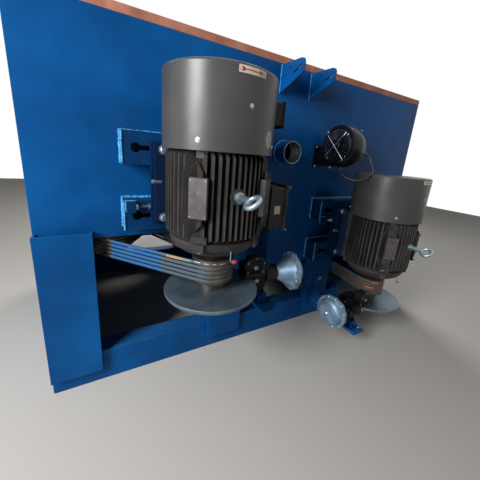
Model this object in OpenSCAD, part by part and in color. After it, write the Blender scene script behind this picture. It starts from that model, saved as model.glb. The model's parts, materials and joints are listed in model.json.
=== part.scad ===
// Wire drawing machine, two bays of the straight-line kind, seen from its motor side.
// Origin on the floor under the rear wall's outer face, at the middle of the length.
// +X runs along the machine, +Y from the motors into the machine, +Z up.

/* [Machine frame] */
// Length of the welded frame
machine_l = 2700; // [2600:20:3000]
// Depth from the rear wall's outer face to the front
machine_d = 1450; // [1350:10:1700]
// Height of the base rails
rail_h = 186; // [150:2:220]
// Width of the base rails
rail_w = 116; // [100:2:160]
// How far the rear rail stands out of the rear wall
rail_proud = 16; // [6:1:30]
// Height of the working deck above the floor
deck_z = 960; // [900:10:1040]
// Thickness of the deck plate
deck_t = 20; // [10:1:30]
// Thickness of the wall plates
wall_t = 12; // [8:1:20]
// Height of the rear wall's top edge
wall_top = 1796; // [1700:2:1900]
// Height of the primed strip on the rear wall's top edge
rim_h = 38; // [20:1:60]
// Thickness of the primed strip
rim_t = 16; // [12:1:24]
// Lower edge of the rear wall over the first bay's belts
wall_low_1 = 824; // [780:2:900]
// Lower edge of the rear wall over the second bay's belts
wall_low_2 = 506; // [440:2:540]
// Distance from the first motor axis to the step in the rear wall's lower edge
wall_step = 555; // [535:5:575]
// Distance from the first motor axis to the leg beside it
leg_right = 234; // [220:2:250]
// Distance from the second motor axis back to the leg beside it
leg_left = 194; // [190:2:210]
// Width of a leg plate
leg_w = 225; // [180:5:260]
// Thickness of a leg plate
leg_t = 12; // [8:1:18]
// How far the legs stand out of the rear rail
leg_proud = 30; // [24:1:40]
// Lower end of the leg plates above the floor
leg_low = 86; // [60:2:100]
// How far the legs lap over the rear wall
leg_lap = 36; // [30:1:37]
// Depth of the ribs behind the rear wall at the deck
rib_d = 120; // [80:5:160]
// Depth of the ribs at the wall's top
rib_top = 45; // [30:5:70]
// Height of the cut-outs in the front wall above the floor
cut_top = 337; // [300:1:360]
// Width of the cut-outs at the rail
cut_w = 500; // [440:10:560]
// Width of the cut-outs at their top
cut_top_w = 170; // [140:10:220]

/* [Motors] */
// Distance from the frame's left end to the first motor axis
motor_end = 703; // [690:1:730]
// Distance between the two motor axes, as a share of the frame's length
motor_share = 0.4644; // [0.46:0.0002:0.478]
// Distance of the motor axes from the rear wall
motor_y = 350; // [345:1:370]
// How much lower the second motor hangs
motor_drop = 335; // [320:1:345]
// Height of the motor's lower fin ends in the first bay
frame_z = 932; // [925:1:940]
// Length of the finned frame
frame_l = 338; // [330:1:345]
// Radius over the fins
fin_r = 208; // [204:1:212]
// Radius of the frame's shell
shell_r = 172; // [165:1:178]
// Distance between fins
fin_pitch = 23; // [20:0.5:26]
// Thickness of a fin
fin_t = 6; // [4:0.5:8]
// Height of the feet below the motor axis
foot_h = 225; // [225:1:228]
// Height of the feet's middle in the first bay
foot_z = 1106; // [1104:1:1112]
// Distance between foot bolts along the axis
foot_b = 311; // [300:1:315]
// Distance between foot bolts across the axis
foot_a = 356; // [350:1:360]
// Radius of the fan cowl
cowl_r = 220; // [216:1:224]
// Height of the fan cowl
cowl_h = 276; // [256:2:290]
// Wall thickness of the fan cowl
cowl_t = 3; // [2:0.5:5]
// Shaft radius
shaft_r = 30; // [24:1:36]
// Running clearance of the shaft in the end shield
shaft_gap = 0.05; // [0.02:0.01:0.09]

/* [Slide rails] */
// Left end of the slide rails from the motor axis
slide_left = 343; // [330:1:360]
// Right end of the slide rails from the motor axis
slide_right = 300; // [290:1:360]
// Height of a slide rail
slide_h = 142; // [130:2:160]
// Depth of a slide rail
slide_d = 100; // [95:1:101]
// Wall of a slide rail
slide_t = 10; // [8:1:14]
// Width of the bolt slots
slot_w = 20; // [18:1:24]
// Radius of the keyhole at the end of the slots
keyhole_r = 21; // [18:1:26]
// Half width of the motor's mounting plate
plate_half = 229; // [224:1:240]
// Height of the motor's mounting plate
plate_h = 374; // [366:2:384]

/* [Belt drive] */
// Outer radius of the motor pulley
pulley_r = 93; // [90:1:100]
// Number of belts on a pulley
belt_count = 5; // [4:1:6]
// Distance between belts
belt_pitch = 20; // [20:0.5:22]
// Height of a belt
belt_w = 15; // [13:0.5:17]
// Thickness of a belt
belt_t = 11; // [10:0.5:13]
// Clearance of a belt in its groove
belt_gap = 0.4; // [0.3:0.1:1]
// Height of the middle belt in the first bay
belt_z = 765; // [760:1:770]
// Outer radius of the driven pulley
big_r = 225; // [200:5:240]
// Distance between the two pulleys
belt_centres = 850; // [800:5:880]
// Direction of the first driven pulley, counted from -X
belt_angle = 58.8; // [56:0.2:64]
// Direction of the second driven pulley, counted from -X
belt_angle_2 = 107; // [104:0.2:112]
// Radius of the brake disc
disc_r = 215; // [205:1:222]
// Thickness of the brake disc
disc_t = 16; // [12:1:20]
// Top of the brake disc in the first bay
disc_z = 664; // [660:1:668]

/* [Brakes] */
// Distance of the first caliper's middle from the motor axis along the machine
caliper_1 = 243; // [240:1:250]
// Distance of the second caliper's middle from the motor axis along the machine
caliper_2 = 215; // [210:1:222]
// Gap between the disc and the caliper's pads
pad_gap = 5; // [5:0.5:8]
// Distance from the first caliper's middle to its air chamber's flange
chamber_1 = 237; // [230:1:250]
// Distance from the second caliper's middle to its air chamber's flange
chamber_2 = 202; // [194:1:212]
// Length of the conical part of the air chamber
chamber_l = 86; // [80:2:100]
// Radius of the air chamber's flange
chamber_r = 106; // [100:1:112]
// Height of the bracket plates in the first bay
bracket_z = 505; // [495:1:515]
// Thickness of the bracket plates
bracket_t = 18; // [12:1:22]
// Width of the bracket plate
bracket_w = 96; // [90:2:120]
// Reach of the first bracket plate from the wall
reach_1 = 448; // [430:2:470]
// Reach of the second bracket plate from the wall
reach_2 = 485; // [470:5:500]

/* [Blocks] */
// Radius of the drawing drums
drum_r = 280; // [240:5:300]
// Height of a drum from its foot flange to its top
drum_h = 270; // [220:5:320]
// Distance from the driven pulley's axis to the drum's axis
gear_centres = 330; // [300:5:360]
// Height of the gear cases
gear_h = 150; // [120:5:180]
// Radius of the gear cases' round ends
gear_r = 170; // [150:5:190]
// Distance of the drum axes from the rear wall
drum_y = 620; // [600:5:640]
// Height of the drum's lower edge above the gear case
drum_gap = 12; // [8:1:20]
// Length of the die boxes
die_l = 230; // [200:5:260]

/* [Air] */
// Distance of the blower's middle from the second motor axis
blower_x = -304; // [-314:2:-300]
// Height of the blower's axis
blower_z = 1366; // [1350:2:1400]
// Distance of the blower's axis from the wall
blower_y = 175; // [165:1:190]
// Radius of the blower's round housing
blower_r = 128; // [118:2:136]
// Width of the blower's housing
blower_w = 130; // [120:2:140]
// Distance of the pipe stub's axis from the first motor axis
stub_x = 600; // [590:2:620]
// Height of the pipe stub's axis
stub_z = 1303; // [1280:1:1330]
// Radius of the pipe stub
stub_r = 70; // [55:1:80]
// Wall of the pipe stub
stub_t = 4; // [3:0.5:8]
// Length of the pipe stub
stub_l = 95; // [70:5:130]
// Distance of the first ear from the first motor axis
ear_1 = 522; // [510:1:535]
// Distance of the second ear from the first motor axis
ear_2 = 753; // [740:1:765]
// Reach of the ears from the wall
ear_d = 200; // [180:5:215]
// Height of the ears at the wall
ear_h = 156; // [140:2:160]
// Thickness of an ear
ear_t = 8; // [6:1:12]

/* [Hidden] */
$fn = 64;

blue = "#1668a8";
grey = "#5a5a5c";
black = "#1c1c1e";
steel = "#9aa1a8";
galvanised = "#a8b0b4";

half_l = machine_l / 2;
motor_pitch = machine_l * motor_share;
motor_x = [motor_end - half_l, motor_end - half_l + motor_pitch];
drop = [0, motor_drop];
leg_x = [leg_w / 2 - half_l, motor_x[0] + leg_right, motor_x[1] - leg_left, half_l - leg_w / 2];
wall_step_x = motor_x[0] + wall_step;
seat_gap = 0.3;
front_y = machine_d - rail_w;
rear_y = -rail_proud;
leg_face = rear_y - leg_proud;
deck_low = deck_z - deck_t;
cowl_z = frame_z + frame_l;
plate_t = motor_y - foot_h - slide_d;
groove_r = pulley_r - belt_t - belt_gap + 2;
pulley_half = (belt_count - 1) / 2 * belt_pitch + belt_w / 2 + 8;
shield_z = frame_z - 84;
box_x = fin_r + 6;
box_y = -88;
box_w = 150;
box_h = 170;
box_z = foot_z - 148;
disc_mid = disc_z - disc_t / 2;
caliper_at = [[caliper_1, 50], [caliper_2, -25]];
caliper_turn = [12, 5];
chamber_at = [chamber_1, chamber_2];
reach = [reach_1, reach_2];
arm_x = [250, -266];
belt_turn = [belt_angle, belt_angle_2];
big_at = [for (a = belt_turn) [-belt_centres * cos(a), belt_centres * sin(a) - motor_y]];
side = [1, -1];
drum_at = [for (b = [0, 1])
    [big_at[b][0] + side[b] * sqrt(pow(gear_centres, 2) - pow(drum_y - big_at[b][1], 2)), drum_y]];
drum_z = deck_z + gear_h + drum_gap;

// Moves a piece drawn round a motor axis at the first bay's height to its own bay
module at_motor(bay) {
    translate([motor_x[bay], -motor_y, -drop[bay]]) children();
}

// A flat plate in the XZ plane, drawn from y to y + t
module wall_plate(y, t) {
    translate([0, y + t, 0]) rotate([90, 0, 0]) linear_extrude(t) children();
}

// A flat plate in the YZ plane, drawn from x to x + t
module side_plate(x, t) {
    translate([x, 0, 0]) rotate([90, 0, 90]) linear_extrude(t) children();
}

module base_rail_rear() {
    color(blue) translate([-half_l, rear_y, 0]) cube([machine_l, rail_w, rail_h]);
}

module base_rail_front() {
    color(blue) translate([-half_l, front_y, 0]) cube([machine_l, rail_w, rail_h]);
}

module end_rails() {
    y0 = rear_y + rail_w;
    color(blue) for (x = [-half_l, half_l - rail_w])
        translate([x, y0, 0]) cube([rail_w, front_y - y0, rail_h]);
}

// Legs are channels that lap over the rear rail's face and run up to the wall
module rear_legs() {
    color(blue) for (x = leg_x) {
        wall_low = x < wall_step_x ? wall_low_1 : wall_low_2;
        top = wall_low + leg_lap;
        translate([x - leg_w / 2, leg_face, leg_low]) cube([leg_w, leg_t, top - leg_low]);
        for (s = [-1, 1]) translate([x + s * (leg_w - leg_t) / 2 - leg_t / 2, 0, 0]) {
            translate([0, leg_face, leg_low]) cube([leg_t, rear_y - leg_face, top - leg_low]);
            translate([0, leg_face, rail_h]) cube([leg_t, -leg_face, top - rail_h]);
            translate([0, leg_face, rail_h]) cube([leg_t, wall_t - leg_face, wall_low - rail_h]);
        }
    }
}

module cut_outline() {
    shoulder = 20;
    polygon([
        [-cut_w / 2, rail_h - 1], [cut_w / 2, rail_h - 1], [cut_w / 2, rail_h + shoulder],
        [cut_top_w / 2, cut_top], [-cut_top_w / 2, cut_top], [-cut_w / 2, rail_h + shoulder]
    ]);
}

module front_wall() {
    color(blue) wall_plate(machine_d - rail_proud - wall_t, wall_t) difference() {
        translate([-half_l, rail_h]) square([machine_l, deck_low - rail_h]);
        for (x = motor_x) translate([x, 0]) cut_outline();
    }
}

module end_wall(x) {
    y0 = wall_t;
    y1 = machine_d - rail_proud - wall_t;
    color(blue) translate([x, y0, rail_h]) cube([wall_t, y1 - y0, deck_low - rail_h]);
}

module end_wall_left() { end_wall(-half_l); }
module end_wall_right() { end_wall(half_l - wall_t); }

// Cross wall under the deck, between the two bays
module inner_wall() {
    y1 = machine_d - rail_proud - wall_t;
    color(blue) translate([wall_step_x, wall_t, rail_h]) cube([wall_t, y1 - wall_t, deck_low - rail_h]);
}

module deck() {
    spindle_r = 45;
    color(blue) difference() {
        translate([-half_l, wall_t, deck_low]) cube([machine_l, machine_d - wall_t, deck_t]);
        for (b = [0, 1])
            translate([motor_x[b] + big_at[b][0], big_at[b][1], deck_low - 1])
                cylinder(r = spindle_r, h = deck_t + 2);
    }
}

module back_wall() {
    color(blue) wall_plate(0, wall_t) difference() {
        polygon([
            [-half_l, wall_low_1], [wall_step_x, wall_low_1], [wall_step_x, wall_low_2],
            [half_l, wall_low_2], [half_l, wall_top], [-half_l, wall_top]
        ]);
        translate([motor_x[0] + stub_x, stub_z]) circle(stub_r - stub_t);
    }
}

module top_rim() {
    color("#b98a78") translate([-half_l, 0, wall_top]) cube([machine_l, rim_t, rim_h]);
}

module wall_ribs() {
    rib_x = [-half_l, leg_x[1], leg_x[2], half_l - wall_t];
    color(blue) for (x = rib_x) side_plate(x, wall_t) polygon([
        [wall_t, deck_z], [wall_t + rib_d, deck_z], [wall_t + rib_top, wall_top], [wall_t, wall_top]
    ]);
}

// A slide rail is a channel, open to the wall, whose face carries the bolt slots
module slide_rail(z) {
    slot_from = -slide_left + 56;
    color(blue) difference() {
        translate([-slide_left, motor_y - slide_d, z - slide_h / 2])
            cube([slide_left + slide_right, slide_d, slide_h]);
        translate([-slide_left + slide_t, motor_y - slide_d + slide_t, z - slide_h / 2 + slide_t])
            cube([slide_left + slide_right - 2 * slide_t, slide_d, slide_h - 2 * slide_t]);
        for (x = [slot_from, 150]) {
            translate([x, motor_y, z]) rotate([90, 0, 0]) cylinder(r = keyhole_r, h = slide_d + 1);
            translate([x, motor_y - slide_d - 1, z - slot_w / 2]) cube([110, slide_d / 2, slot_w]);
            translate([x + 110, motor_y - slide_d / 2, z]) rotate([90, 0, 0])
                cylinder(d = slot_w, h = slide_d / 2 + 1);
        }
    }
}

// Square nut block welded to a slide rail, for the belt tension screw
module jack_block(z) {
    color(blue) translate([-slide_left + 8, motor_y - slide_d - 36, z]) cube([40, 36, 50]);
}

module slide_rails(bay) {
    at_motor(bay) {
        slide_rail(foot_z + foot_b / 2);
        slide_rail(foot_z - foot_b / 2);
        if (bay == 0) jack_block(foot_z - foot_b / 2 + 22);
        if (bay == 1) jack_block(foot_z + foot_b / 2 - slide_h / 2 - 24);
    }
}

module slide_rails_1() { slide_rails(0); }
module slide_rails_2() { slide_rails(1); }

module motor_plate() {
    hole_r = 9.25;
    color(blue) difference() {
        translate([-plate_half, foot_h, foot_z - plate_h / 2]) cube([2 * plate_half, plate_t, plate_h]);
        for (x = [-foot_a / 2, foot_a / 2], z = [-foot_b / 2, foot_b / 2])
            translate([x, foot_h - 1, foot_z + z]) rotate([-90, 0, 0]) cylinder(r = hole_r, h = plate_t + 2);
    }
}

module motor_plate_1() { at_motor(0) motor_plate(); }
module motor_plate_2() { at_motor(1) motor_plate(); }

// One group of parallel fins in plan, pointing along +X
module fin_group(count) {
    for (k = [0 : count - 1])
        translate([0, (k - (count - 1) / 2) * fin_pitch - fin_t / 2]) square([fin_r + 5, fin_t]);
}

module motor_frame() {
    chamfer = fin_r - shell_r + 4;
    side_fins = 2 * floor(fin_r * 0.62 / fin_pitch) + 1;
    color(grey) {
        intersection() {
            translate([0, 0, frame_z]) linear_extrude(frame_l) intersection() {
                circle(fin_r);
                union() {
                    circle(shell_r);
                    for (a = [0, 180, 270]) rotate(a) fin_group(side_fins);
                }
            }
            rotate_extrude() polygon([
                [0, frame_z], [fin_r + 4 - chamfer, frame_z], [fin_r + 4, frame_z + 24],
                [fin_r + 4, frame_z + frame_l - 20], [fin_r - 16, frame_z + frame_l], [0, frame_z + frame_l]
            ]);
        }
        for (s = [-1, 1]) motor_foot(s);
        for (s = [0, 1]) mirror([s, 0, 0]) pad_fins();
        for (a = [-129, -51]) rotate(a) name_pad();
        eyebolt_boss();
        translate([shell_r - 20, box_y, box_z]) cube([box_x - shell_r + 20, box_w, box_h]);
    }
}

// A foot bar with its web, on one side of the frame, cut back under the cowl
module motor_foot(s) {
    foot_l = foot_b + 36;
    hole_r = 9.25;
    difference() {
        translate([0, 0, foot_z - foot_l / 2]) linear_extrude(foot_l) polygon([
            [s * 216, foot_h], [s * 128, foot_h], [s * 110, 140], [s * 150, 100], [s * 168, foot_h - 26],
            [s * 216, foot_h - 26]
        ]);
        for (z = [-foot_b / 2, foot_b / 2])
            translate([s * foot_a / 2, foot_h - 40, foot_z + z]) rotate([-90, 0, 0])
                cylinder(r = hole_r, h = 60);
        translate([0, 0, cowl_z - 2]) cylinder(r = cowl_r + 4, h = foot_l);
    }
}

// Cast pad between two groups of fins: a plate on a block, with a lug above it and one below
module name_pad() {
    pad_w = 66;
    block_w = 50;
    lug_w = 60;
    z0 = frame_z + 104;
    z1 = frame_z + 248;
    translate([shell_r - 20, -block_w / 2, z0 + 6]) cube([fin_r + 4 - shell_r + 20, block_w, z1 - z0 - 12]);
    translate([fin_r - 2, -pad_w / 2, z0]) cube([8, pad_w, z1 - z0]);
    translate([shell_r - 20, -20, frame_z + frame_l - 26]) cube([44, 40, 26]);
    translate([0, lug_w / 2, 0]) rotate([90, 0, 0]) linear_extrude(lug_w) polygon([
        [shell_r - 24, frame_z], [shell_r + 28, frame_z], [shell_r + 32, frame_z + 8],
        [shell_r + 32, frame_z + 30], [shell_r - 24, frame_z + 44]
    ]);
}

// Two short fins with cut corners that frame a name pad, one from each group
module pad_fins() {
    at = 127;
    out = 184;
    back = 105;
    z0 = frame_z + 33;
    z1 = frame_z + 314;
    slope = 47;
    outline = [[back, z0], [out, z0 + slope], [out, z1 - slope], [back, z1]];
    wall_plate(-at - fin_t, fin_t) polygon([for (p = outline) [-p[0], p[1]]]);
    side_plate(-at - fin_t, fin_t) polygon([for (p = outline) [-p[0], p[1]]]);
}

// Round boss that the eyebolt is screwed into
module eyebolt_boss() {
    translate([0, 20 - shell_r, foot_z + 12]) rotate([90, 0, 0]) cylinder(r = 30, h = 58);
}

// Eyebolts on the sides away from the feet, with the ring tilted
module eyebolts() {
    ring_r = 26;
    rod_r = 9;
    root = shell_r + 38;
    ring_at = root + 96;
    color(galvanised) for (bay = [0, 1]) at_motor(bay) translate([0, 0, foot_z + 12]) {
        translate([0, -root, 0]) rotate([90, 0, 0]) cylinder(r = 20, h = 10);
        translate([0, -root, 0]) rotate([90, 0, 0]) cylinder(r = 14, h = ring_at - root - ring_r + 2);
        translate([0, -ring_at, 0]) rotate([0, -40, 0]) rotate_extrude()
            translate([ring_r, 0]) circle(rod_r);
    }
}

// Small terminal boxes of the cooling fans on the cowls' right sides
module fan_boxes() {
    box_l = 46;
    lid = 10;
    z = cowl_z + 126;
    color(black) for (bay = [0, 1]) at_motor(bay) {
        difference() {
            translate([cowl_r - 12, -58, z]) cube([box_l + 12, 116, 96]);
            translate([0, 0, z - 1]) cylinder(r = cowl_r, h = 98);
        }
        translate([cowl_r + box_l, -64, z - 6]) cube([lid, 128, 108]);
    }
}

module motor_frame_1() { at_motor(0) motor_frame(); }
module motor_frame_2() { at_motor(1) motor_frame(); }

// Sheet cowl with a slotted top over the fan
module motor_cowl() {
    edge = 9;
    slot_from = 60;
    slot_l = 110;
    slots = 12;
    color(grey) difference() {
        translate([0, 0, cowl_z]) rotate_extrude($fn = 96) polygon([
            [cowl_r - cowl_t, 0], [cowl_r, 0], [cowl_r, cowl_h - edge], [cowl_r - 3, cowl_h - 3],
            [cowl_r - edge, cowl_h], [0, cowl_h], [0, cowl_h - cowl_t],
            [cowl_r - edge, cowl_h - cowl_t], [cowl_r - cowl_t, cowl_h - edge]
        ]);
        for (k = [0 : slots - 1]) rotate((k + 0.5) * 360 / slots)
            translate([slot_from, -7, cowl_z + cowl_h - cowl_t - 1]) cube([slot_l, 14, cowl_t + 2]);
    }
    color(grey) for (a = [20, 110, 200, 290]) rotate(a)
        translate([shell_r - 6, -12, cowl_z]) cube([cowl_r - cowl_t - shell_r + 7, 24, 22]);
}

module motor_cowl_1() { at_motor(0) motor_cowl(); }
module motor_cowl_2() { at_motor(1) motor_cowl(); }

// Drive-end shield, a shallow stepped bowl with the shaft's bore
module end_shield() {
    color(grey) difference() {
        union() {
            rotate_extrude() polygon([
                [0, frame_z], [190, frame_z], [190, frame_z - 14], [184, frame_z - 30],
                [170, frame_z - 48], [150, frame_z - 63], [126, frame_z - 73], [112, shield_z + 7],
                [104, shield_z], [0, shield_z]
            ]);
            for (a = [-129, -51, 51, 129]) rotate(a)
                translate([150, -20, frame_z - 30]) cube([54, 40, 30]);
        }
        translate([0, 0, shield_z - 1]) cylinder(r = shaft_r + shaft_gap, h = 61);
    }
}

module end_shield_1() { at_motor(0) end_shield(); }
module end_shield_2() { at_motor(1) end_shield(); }

module terminal_box() {
    neck = 8;
    body = 74;
    lid = 12;
    flare = 10;
    over = 12;
    color(grey) {
        translate([box_x, box_y, box_z]) cube([neck, box_w, box_h]);
        translate([box_x + neck, box_y - flare, box_z - flare])
            cube([body, box_w + 2 * flare, box_h + 2 * flare]);
        translate([box_x + neck + body, box_y - flare - over, box_z - flare - over])
            cube([lid, box_w + 2 * (flare + over), box_h + 2 * (flare + over)]);
    }
}

module terminal_box_1() { at_motor(0) terminal_box(); }
module terminal_box_2() { at_motor(1) terminal_box(); }

module motor_shaft() {
    low = disc_z - disc_t - 12;
    color(steel) translate([0, 0, low]) cylinder(r = shaft_r, h = shield_z + 56 - low);
}

module motor_shaft_1() { at_motor(0) motor_shaft(); }
module motor_shaft_2() { at_motor(1) motor_shaft(); }

// Grooved rim of a pulley from its bore out, with one groove for each belt
module grooved_rim(outer, bore) {
    groove_w = belt_w + 2 * belt_gap;
    difference() {
        translate([0, 0, belt_z - pulley_half]) cylinder(r = outer, h = 2 * pulley_half);
        for (k = [0 : belt_count - 1]) {
            z = belt_z + (k - (belt_count - 1) / 2) * belt_pitch;
            translate([0, 0, z - groove_w / 2]) difference() {
                cylinder(r = outer + 1, h = groove_w);
                translate([0, 0, -1]) cylinder(r = outer - (pulley_r - groove_r), h = groove_w + 2);
            }
        }
        translate([0, 0, belt_z - pulley_half - 1]) cylinder(r = bore, h = 2 * pulley_half + 2);
    }
}

module motor_pulley() {
    hub_r = 62;
    color(grey) {
        grooved_rim(pulley_r, shaft_r);
        difference() {
            translate([0, 0, disc_z]) cylinder(r = hub_r, h = belt_z - pulley_half - disc_z);
            translate([0, 0, disc_z - 1]) cylinder(r = shaft_r, h = belt_z - disc_z);
        }
    }
}

module motor_pulley_1() { at_motor(0) motor_pulley(); }
module motor_pulley_2() { at_motor(1) motor_pulley(); }

module brake_disc() {
    color(steel) translate([0, 0, disc_z - disc_t]) difference() {
        cylinder(r = disc_r, h = disc_t, $fn = 96);
        translate([0, 0, -1]) cylinder(r = shaft_r, h = disc_t + 2);
    }
}

module brake_disc_1() { at_motor(0) brake_disc(); }
module brake_disc_2() { at_motor(1) brake_disc(); }

// Closed outline of a belt round both pulleys: small pulley at 0, large one at belt_centres along X
function belt_path(small, large) =
    let (a = asin((large - small) / belt_centres), n = 20, m = 44)
    concat(
        [for (k = [0 : n]) let (t = 90 + a + k * (180 - 2 * a) / n) small * [cos(t), sin(t)]],
        [for (k = [0 : m]) let (t = -90 - a + k * (180 + 2 * a) / m)
            [belt_centres, 0] + large * [cos(t), sin(t)]]
    );

module belts(bay) {
    inner = groove_r + belt_gap;
    big_inner = inner + big_r - pulley_r;
    color("#2f6f8f") at_motor(bay) rotate(180 - belt_turn[bay]) for (k = [0 : belt_count - 1])
        translate([0, 0, belt_z + (k - (belt_count - 1) / 2) * belt_pitch - belt_w / 2])
            linear_extrude(belt_w) difference() {
                polygon(belt_path(inner + belt_t, big_inner + belt_t));
                polygon(belt_path(inner, big_inner));
            }
}

module belts_1() { belts(0); }
module belts_2() { belts(1); }

// Driven pulley with its spindle tube up to the gear case
module big_pulley(bay) {
    spindle_r = 40;
    at_motor(bay) translate([big_at[bay][0], big_at[bay][1] + motor_y, 0]) color(grey) {
        grooved_rim(big_r, spindle_r);
        translate([0, 0, belt_z - pulley_half - 14])
            cylinder(r = spindle_r, h = deck_z + drop[bay] - belt_z + pulley_half + 14);
    }
}

module big_pulley_1() { big_pulley(0); }
module big_pulley_2() { big_pulley(1); }

module gear_case(bay) {
    foot = 22;
    flange = 30;
    neck_r = 90;
    to_drum = drum_at[bay] - big_at[bay];
    color(blue) translate([motor_x[bay] + big_at[bay][0], big_at[bay][1], deck_z])
        rotate(-atan2(to_drum[0], to_drum[1])) {
        for (y = [0, gear_centres]) translate([0, y, 0]) cylinder(r = gear_r, h = gear_h);
        translate([-gear_r, 0, 0]) cube([2 * gear_r, gear_centres, gear_h]);
        translate([-gear_r - flange, -60, 0]) cube([2 * (gear_r + flange), gear_centres + 120, foot]);
        translate([0, gear_centres, gear_h]) cylinder(r = neck_r, h = drum_gap);
    }
}

module gear_case_1() { gear_case(0); }
module gear_case_2() { gear_case(1); }

// Drawing drum: foot flange, working face with a slight taper, stripper shoulder and crown
module drum(bay) {
    foot_flange = 34;
    shoulder = 0.62 * drum_h;
    color(steel) translate([motor_x[bay] + drum_at[bay][0], drum_at[bay][1], drum_z])
        rotate_extrude($fn = 96) polygon([
            [0, 0], [drum_r + foot_flange, 0], [drum_r + foot_flange, 18], [drum_r + 8, 34], [drum_r, 52],
            [drum_r - 4, shoulder], [drum_r - 26, shoulder + 22], [drum_r - 26, drum_h - 12],
            [drum_r - 38, drum_h], [70, drum_h], [70, drum_h - 40], [0, drum_h - 40]
        ]);
}

module drum_1() { drum(0); }
module drum_2() { drum(1); }

// Die box with its lid, on a post that stands on the deck beside the drum
module die_box(bay) {
    x = motor_x[bay] + drum_at[bay][0] + drum_r - 10;
    y = drum_at[bay][1] + drum_r - 10;
    z = drum_z + 60;
    box_d = 150;
    post = 100;
    color(blue) {
        translate([x + (die_l - post) / 2, y - post / 2, deck_z]) cube([post, post, z - deck_z]);
        translate([x, y - box_d / 2, z]) cube([die_l, box_d, 112]);
        translate([x - 6, y - box_d / 2 - 6, z + 112]) cube([die_l - 50, box_d + 12, 14]);
    }
}

module die_box_1() { die_box(0); }
module die_box_2() { die_box(1); }

// Arm plate out of the leg with a curved gusset below it
module brake_bracket(bay) {
    wall_y = motor_y + leg_face;
    out = wall_y - motor_y + reach[bay];
    gusset_x = 23;
    top = 213;
    color(blue) at_motor(bay) {
        translate([arm_x[bay], wall_y - out, bracket_z - bracket_t]) cube([bracket_w, out, bracket_t]);
        side_plate(arm_x[bay] + gusset_x, bracket_t) polygon([
            [wall_y, bracket_z + top], [wall_y - 26, bracket_z + top], [wall_y - 28, bracket_z + 130],
            [wall_y - 40, bracket_z + 104], [wall_y - 80, bracket_z + 72], [wall_y - 140, bracket_z + 30],
            [wall_y - 220, bracket_z], [wall_y - 330, bracket_z], [wall_y - 330, bracket_z - bracket_t - 10],
            [wall_y - 220, bracket_z - bracket_t - 30], [wall_y, bracket_z - bracket_t - 40]
        ]);
    }
}

module brake_bracket_1() { brake_bracket(0); }
module brake_bracket_2() { brake_bracket(1); }

// Moves a piece drawn round a caliper's middle, with its chamber along +X, to its own bay
module at_caliper(bay) {
    at_motor(bay) mirror([bay == 0 ? 0 : 1, 0, 0])
        translate([caliper_at[bay][0], caliper_at[bay][1], disc_mid]) rotate(-caliper_turn[bay]) children();
}

// One arm of the caliper in plan, from its rounded nose back to the bridge
module caliper_arm() {
    translate([-16, 0]) circle(52);
    translate([-16, -52]) square([84, 104]);
}

// Caliper with arms over and under the disc, a bridge, a neck and a lug down to the clevis
module brake_caliper(bay) {
    arm_from = disc_t / 2 + pad_gap;
    arm_t = 46;
    neck_r = 43;
    neck_to = chamber_at[bay] - chamber_l - 8;
    pin_x = abs(arm_x[bay]) + (bay == 0 ? 1 : -1) * bracket_w / 2;
    pin_y = caliper_at[bay][1] - 36;
    pin_z = bracket_z + 36;
    body_low = disc_mid - arm_from - arm_t;
    body_x = caliper_at[bay][0];
    ear = 12;
    lug = 26;
    color(black) difference() {
        union() {
            at_caliper(bay) {
                translate([0, 0, arm_from]) linear_extrude(arm_t) caliper_arm();
                translate([0, 0, -arm_from - arm_t]) linear_extrude(arm_t) caliper_arm();
                translate([18, -46, -arm_from - arm_t]) cube([50, 92, 2 * (arm_from + arm_t)]);
                translate([2, -46, 4]) rotate([90, 0, 0]) cylinder(r = 46, h = 36);
                translate([50, 0, 0]) rotate([0, 90, 0]) cylinder(r = neck_r, h = neck_to - 50);
                translate([76, 0, 0]) rotate([0, 90, 0]) cylinder(r = neck_r + 12, h = 14);
            }
            at_motor(bay) mirror([bay == 0 ? 0 : 1, 0, 0]) {
                wall_plate(pin_y - lug / 2, lug) polygon([
                    [body_x - 6, body_low + 12], [body_x + 50, body_low + 12],
                    [pin_x + 18, pin_z], [pin_x - 18, pin_z]
                ]);
                translate([pin_x, pin_y + lug / 2, pin_z]) rotate([90, 0, 0]) cylinder(r = 20, h = lug);
            }
        }
        at_motor(bay) translate([0, 0, disc_mid - arm_from]) cylinder(r = disc_r + 12, h = 2 * arm_from);
    }
    color(blue) at_motor(bay) mirror([bay == 0 ? 0 : 1, 0, 0]) {
        translate([pin_x - 36, pin_y - 38, bracket_z]) cube([72, 76, 10]);
        for (y = [pin_y - lug / 2 - ear, pin_y + lug / 2]) {
            translate([pin_x - 22, y, bracket_z]) cube([44, ear, pin_z - bracket_z]);
            translate([pin_x, y + ear, pin_z]) rotate([90, 0, 0]) cylinder(r = 22, h = ear);
        }
    }
}

module brake_caliper_1() { brake_caliper(0); }
module brake_caliper_2() { brake_caliper(1); }

// Air chamber: a cone, a bolted double flange and a stepped pot
module air_chamber(bay) {
    flange = 8;
    seam = 2;
    r = chamber_r;
    color(galvanised) at_caliper(bay) translate([chamber_at[bay] - chamber_l - flange, 0, 0])
        rotate([0, 90, 0]) rotate_extrude($fn = 96) polygon([
            [0, 0], [40, 0], [42, 10], [r - 20, chamber_l - 6], [r - 14, chamber_l], [r, chamber_l],
            [r, chamber_l + flange], [r - 4, chamber_l + flange], [r - 4, chamber_l + flange + seam],
            [r, chamber_l + flange + seam], [r, chamber_l + 2 * flange + seam],
            [r - 16, chamber_l + 2 * flange + seam], [r - 20, chamber_l + 2 * flange + 10],
            [r - 24, chamber_l + 2 * flange + 22], [r - 32, chamber_l + 2 * flange + 30],
            [r - 38, chamber_l + 2 * flange + 34], [20, chamber_l + 2 * flange + 36],
            [18, chamber_l + 2 * flange + 42], [0, chamber_l + 2 * flange + 42]
        ]);
}

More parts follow.
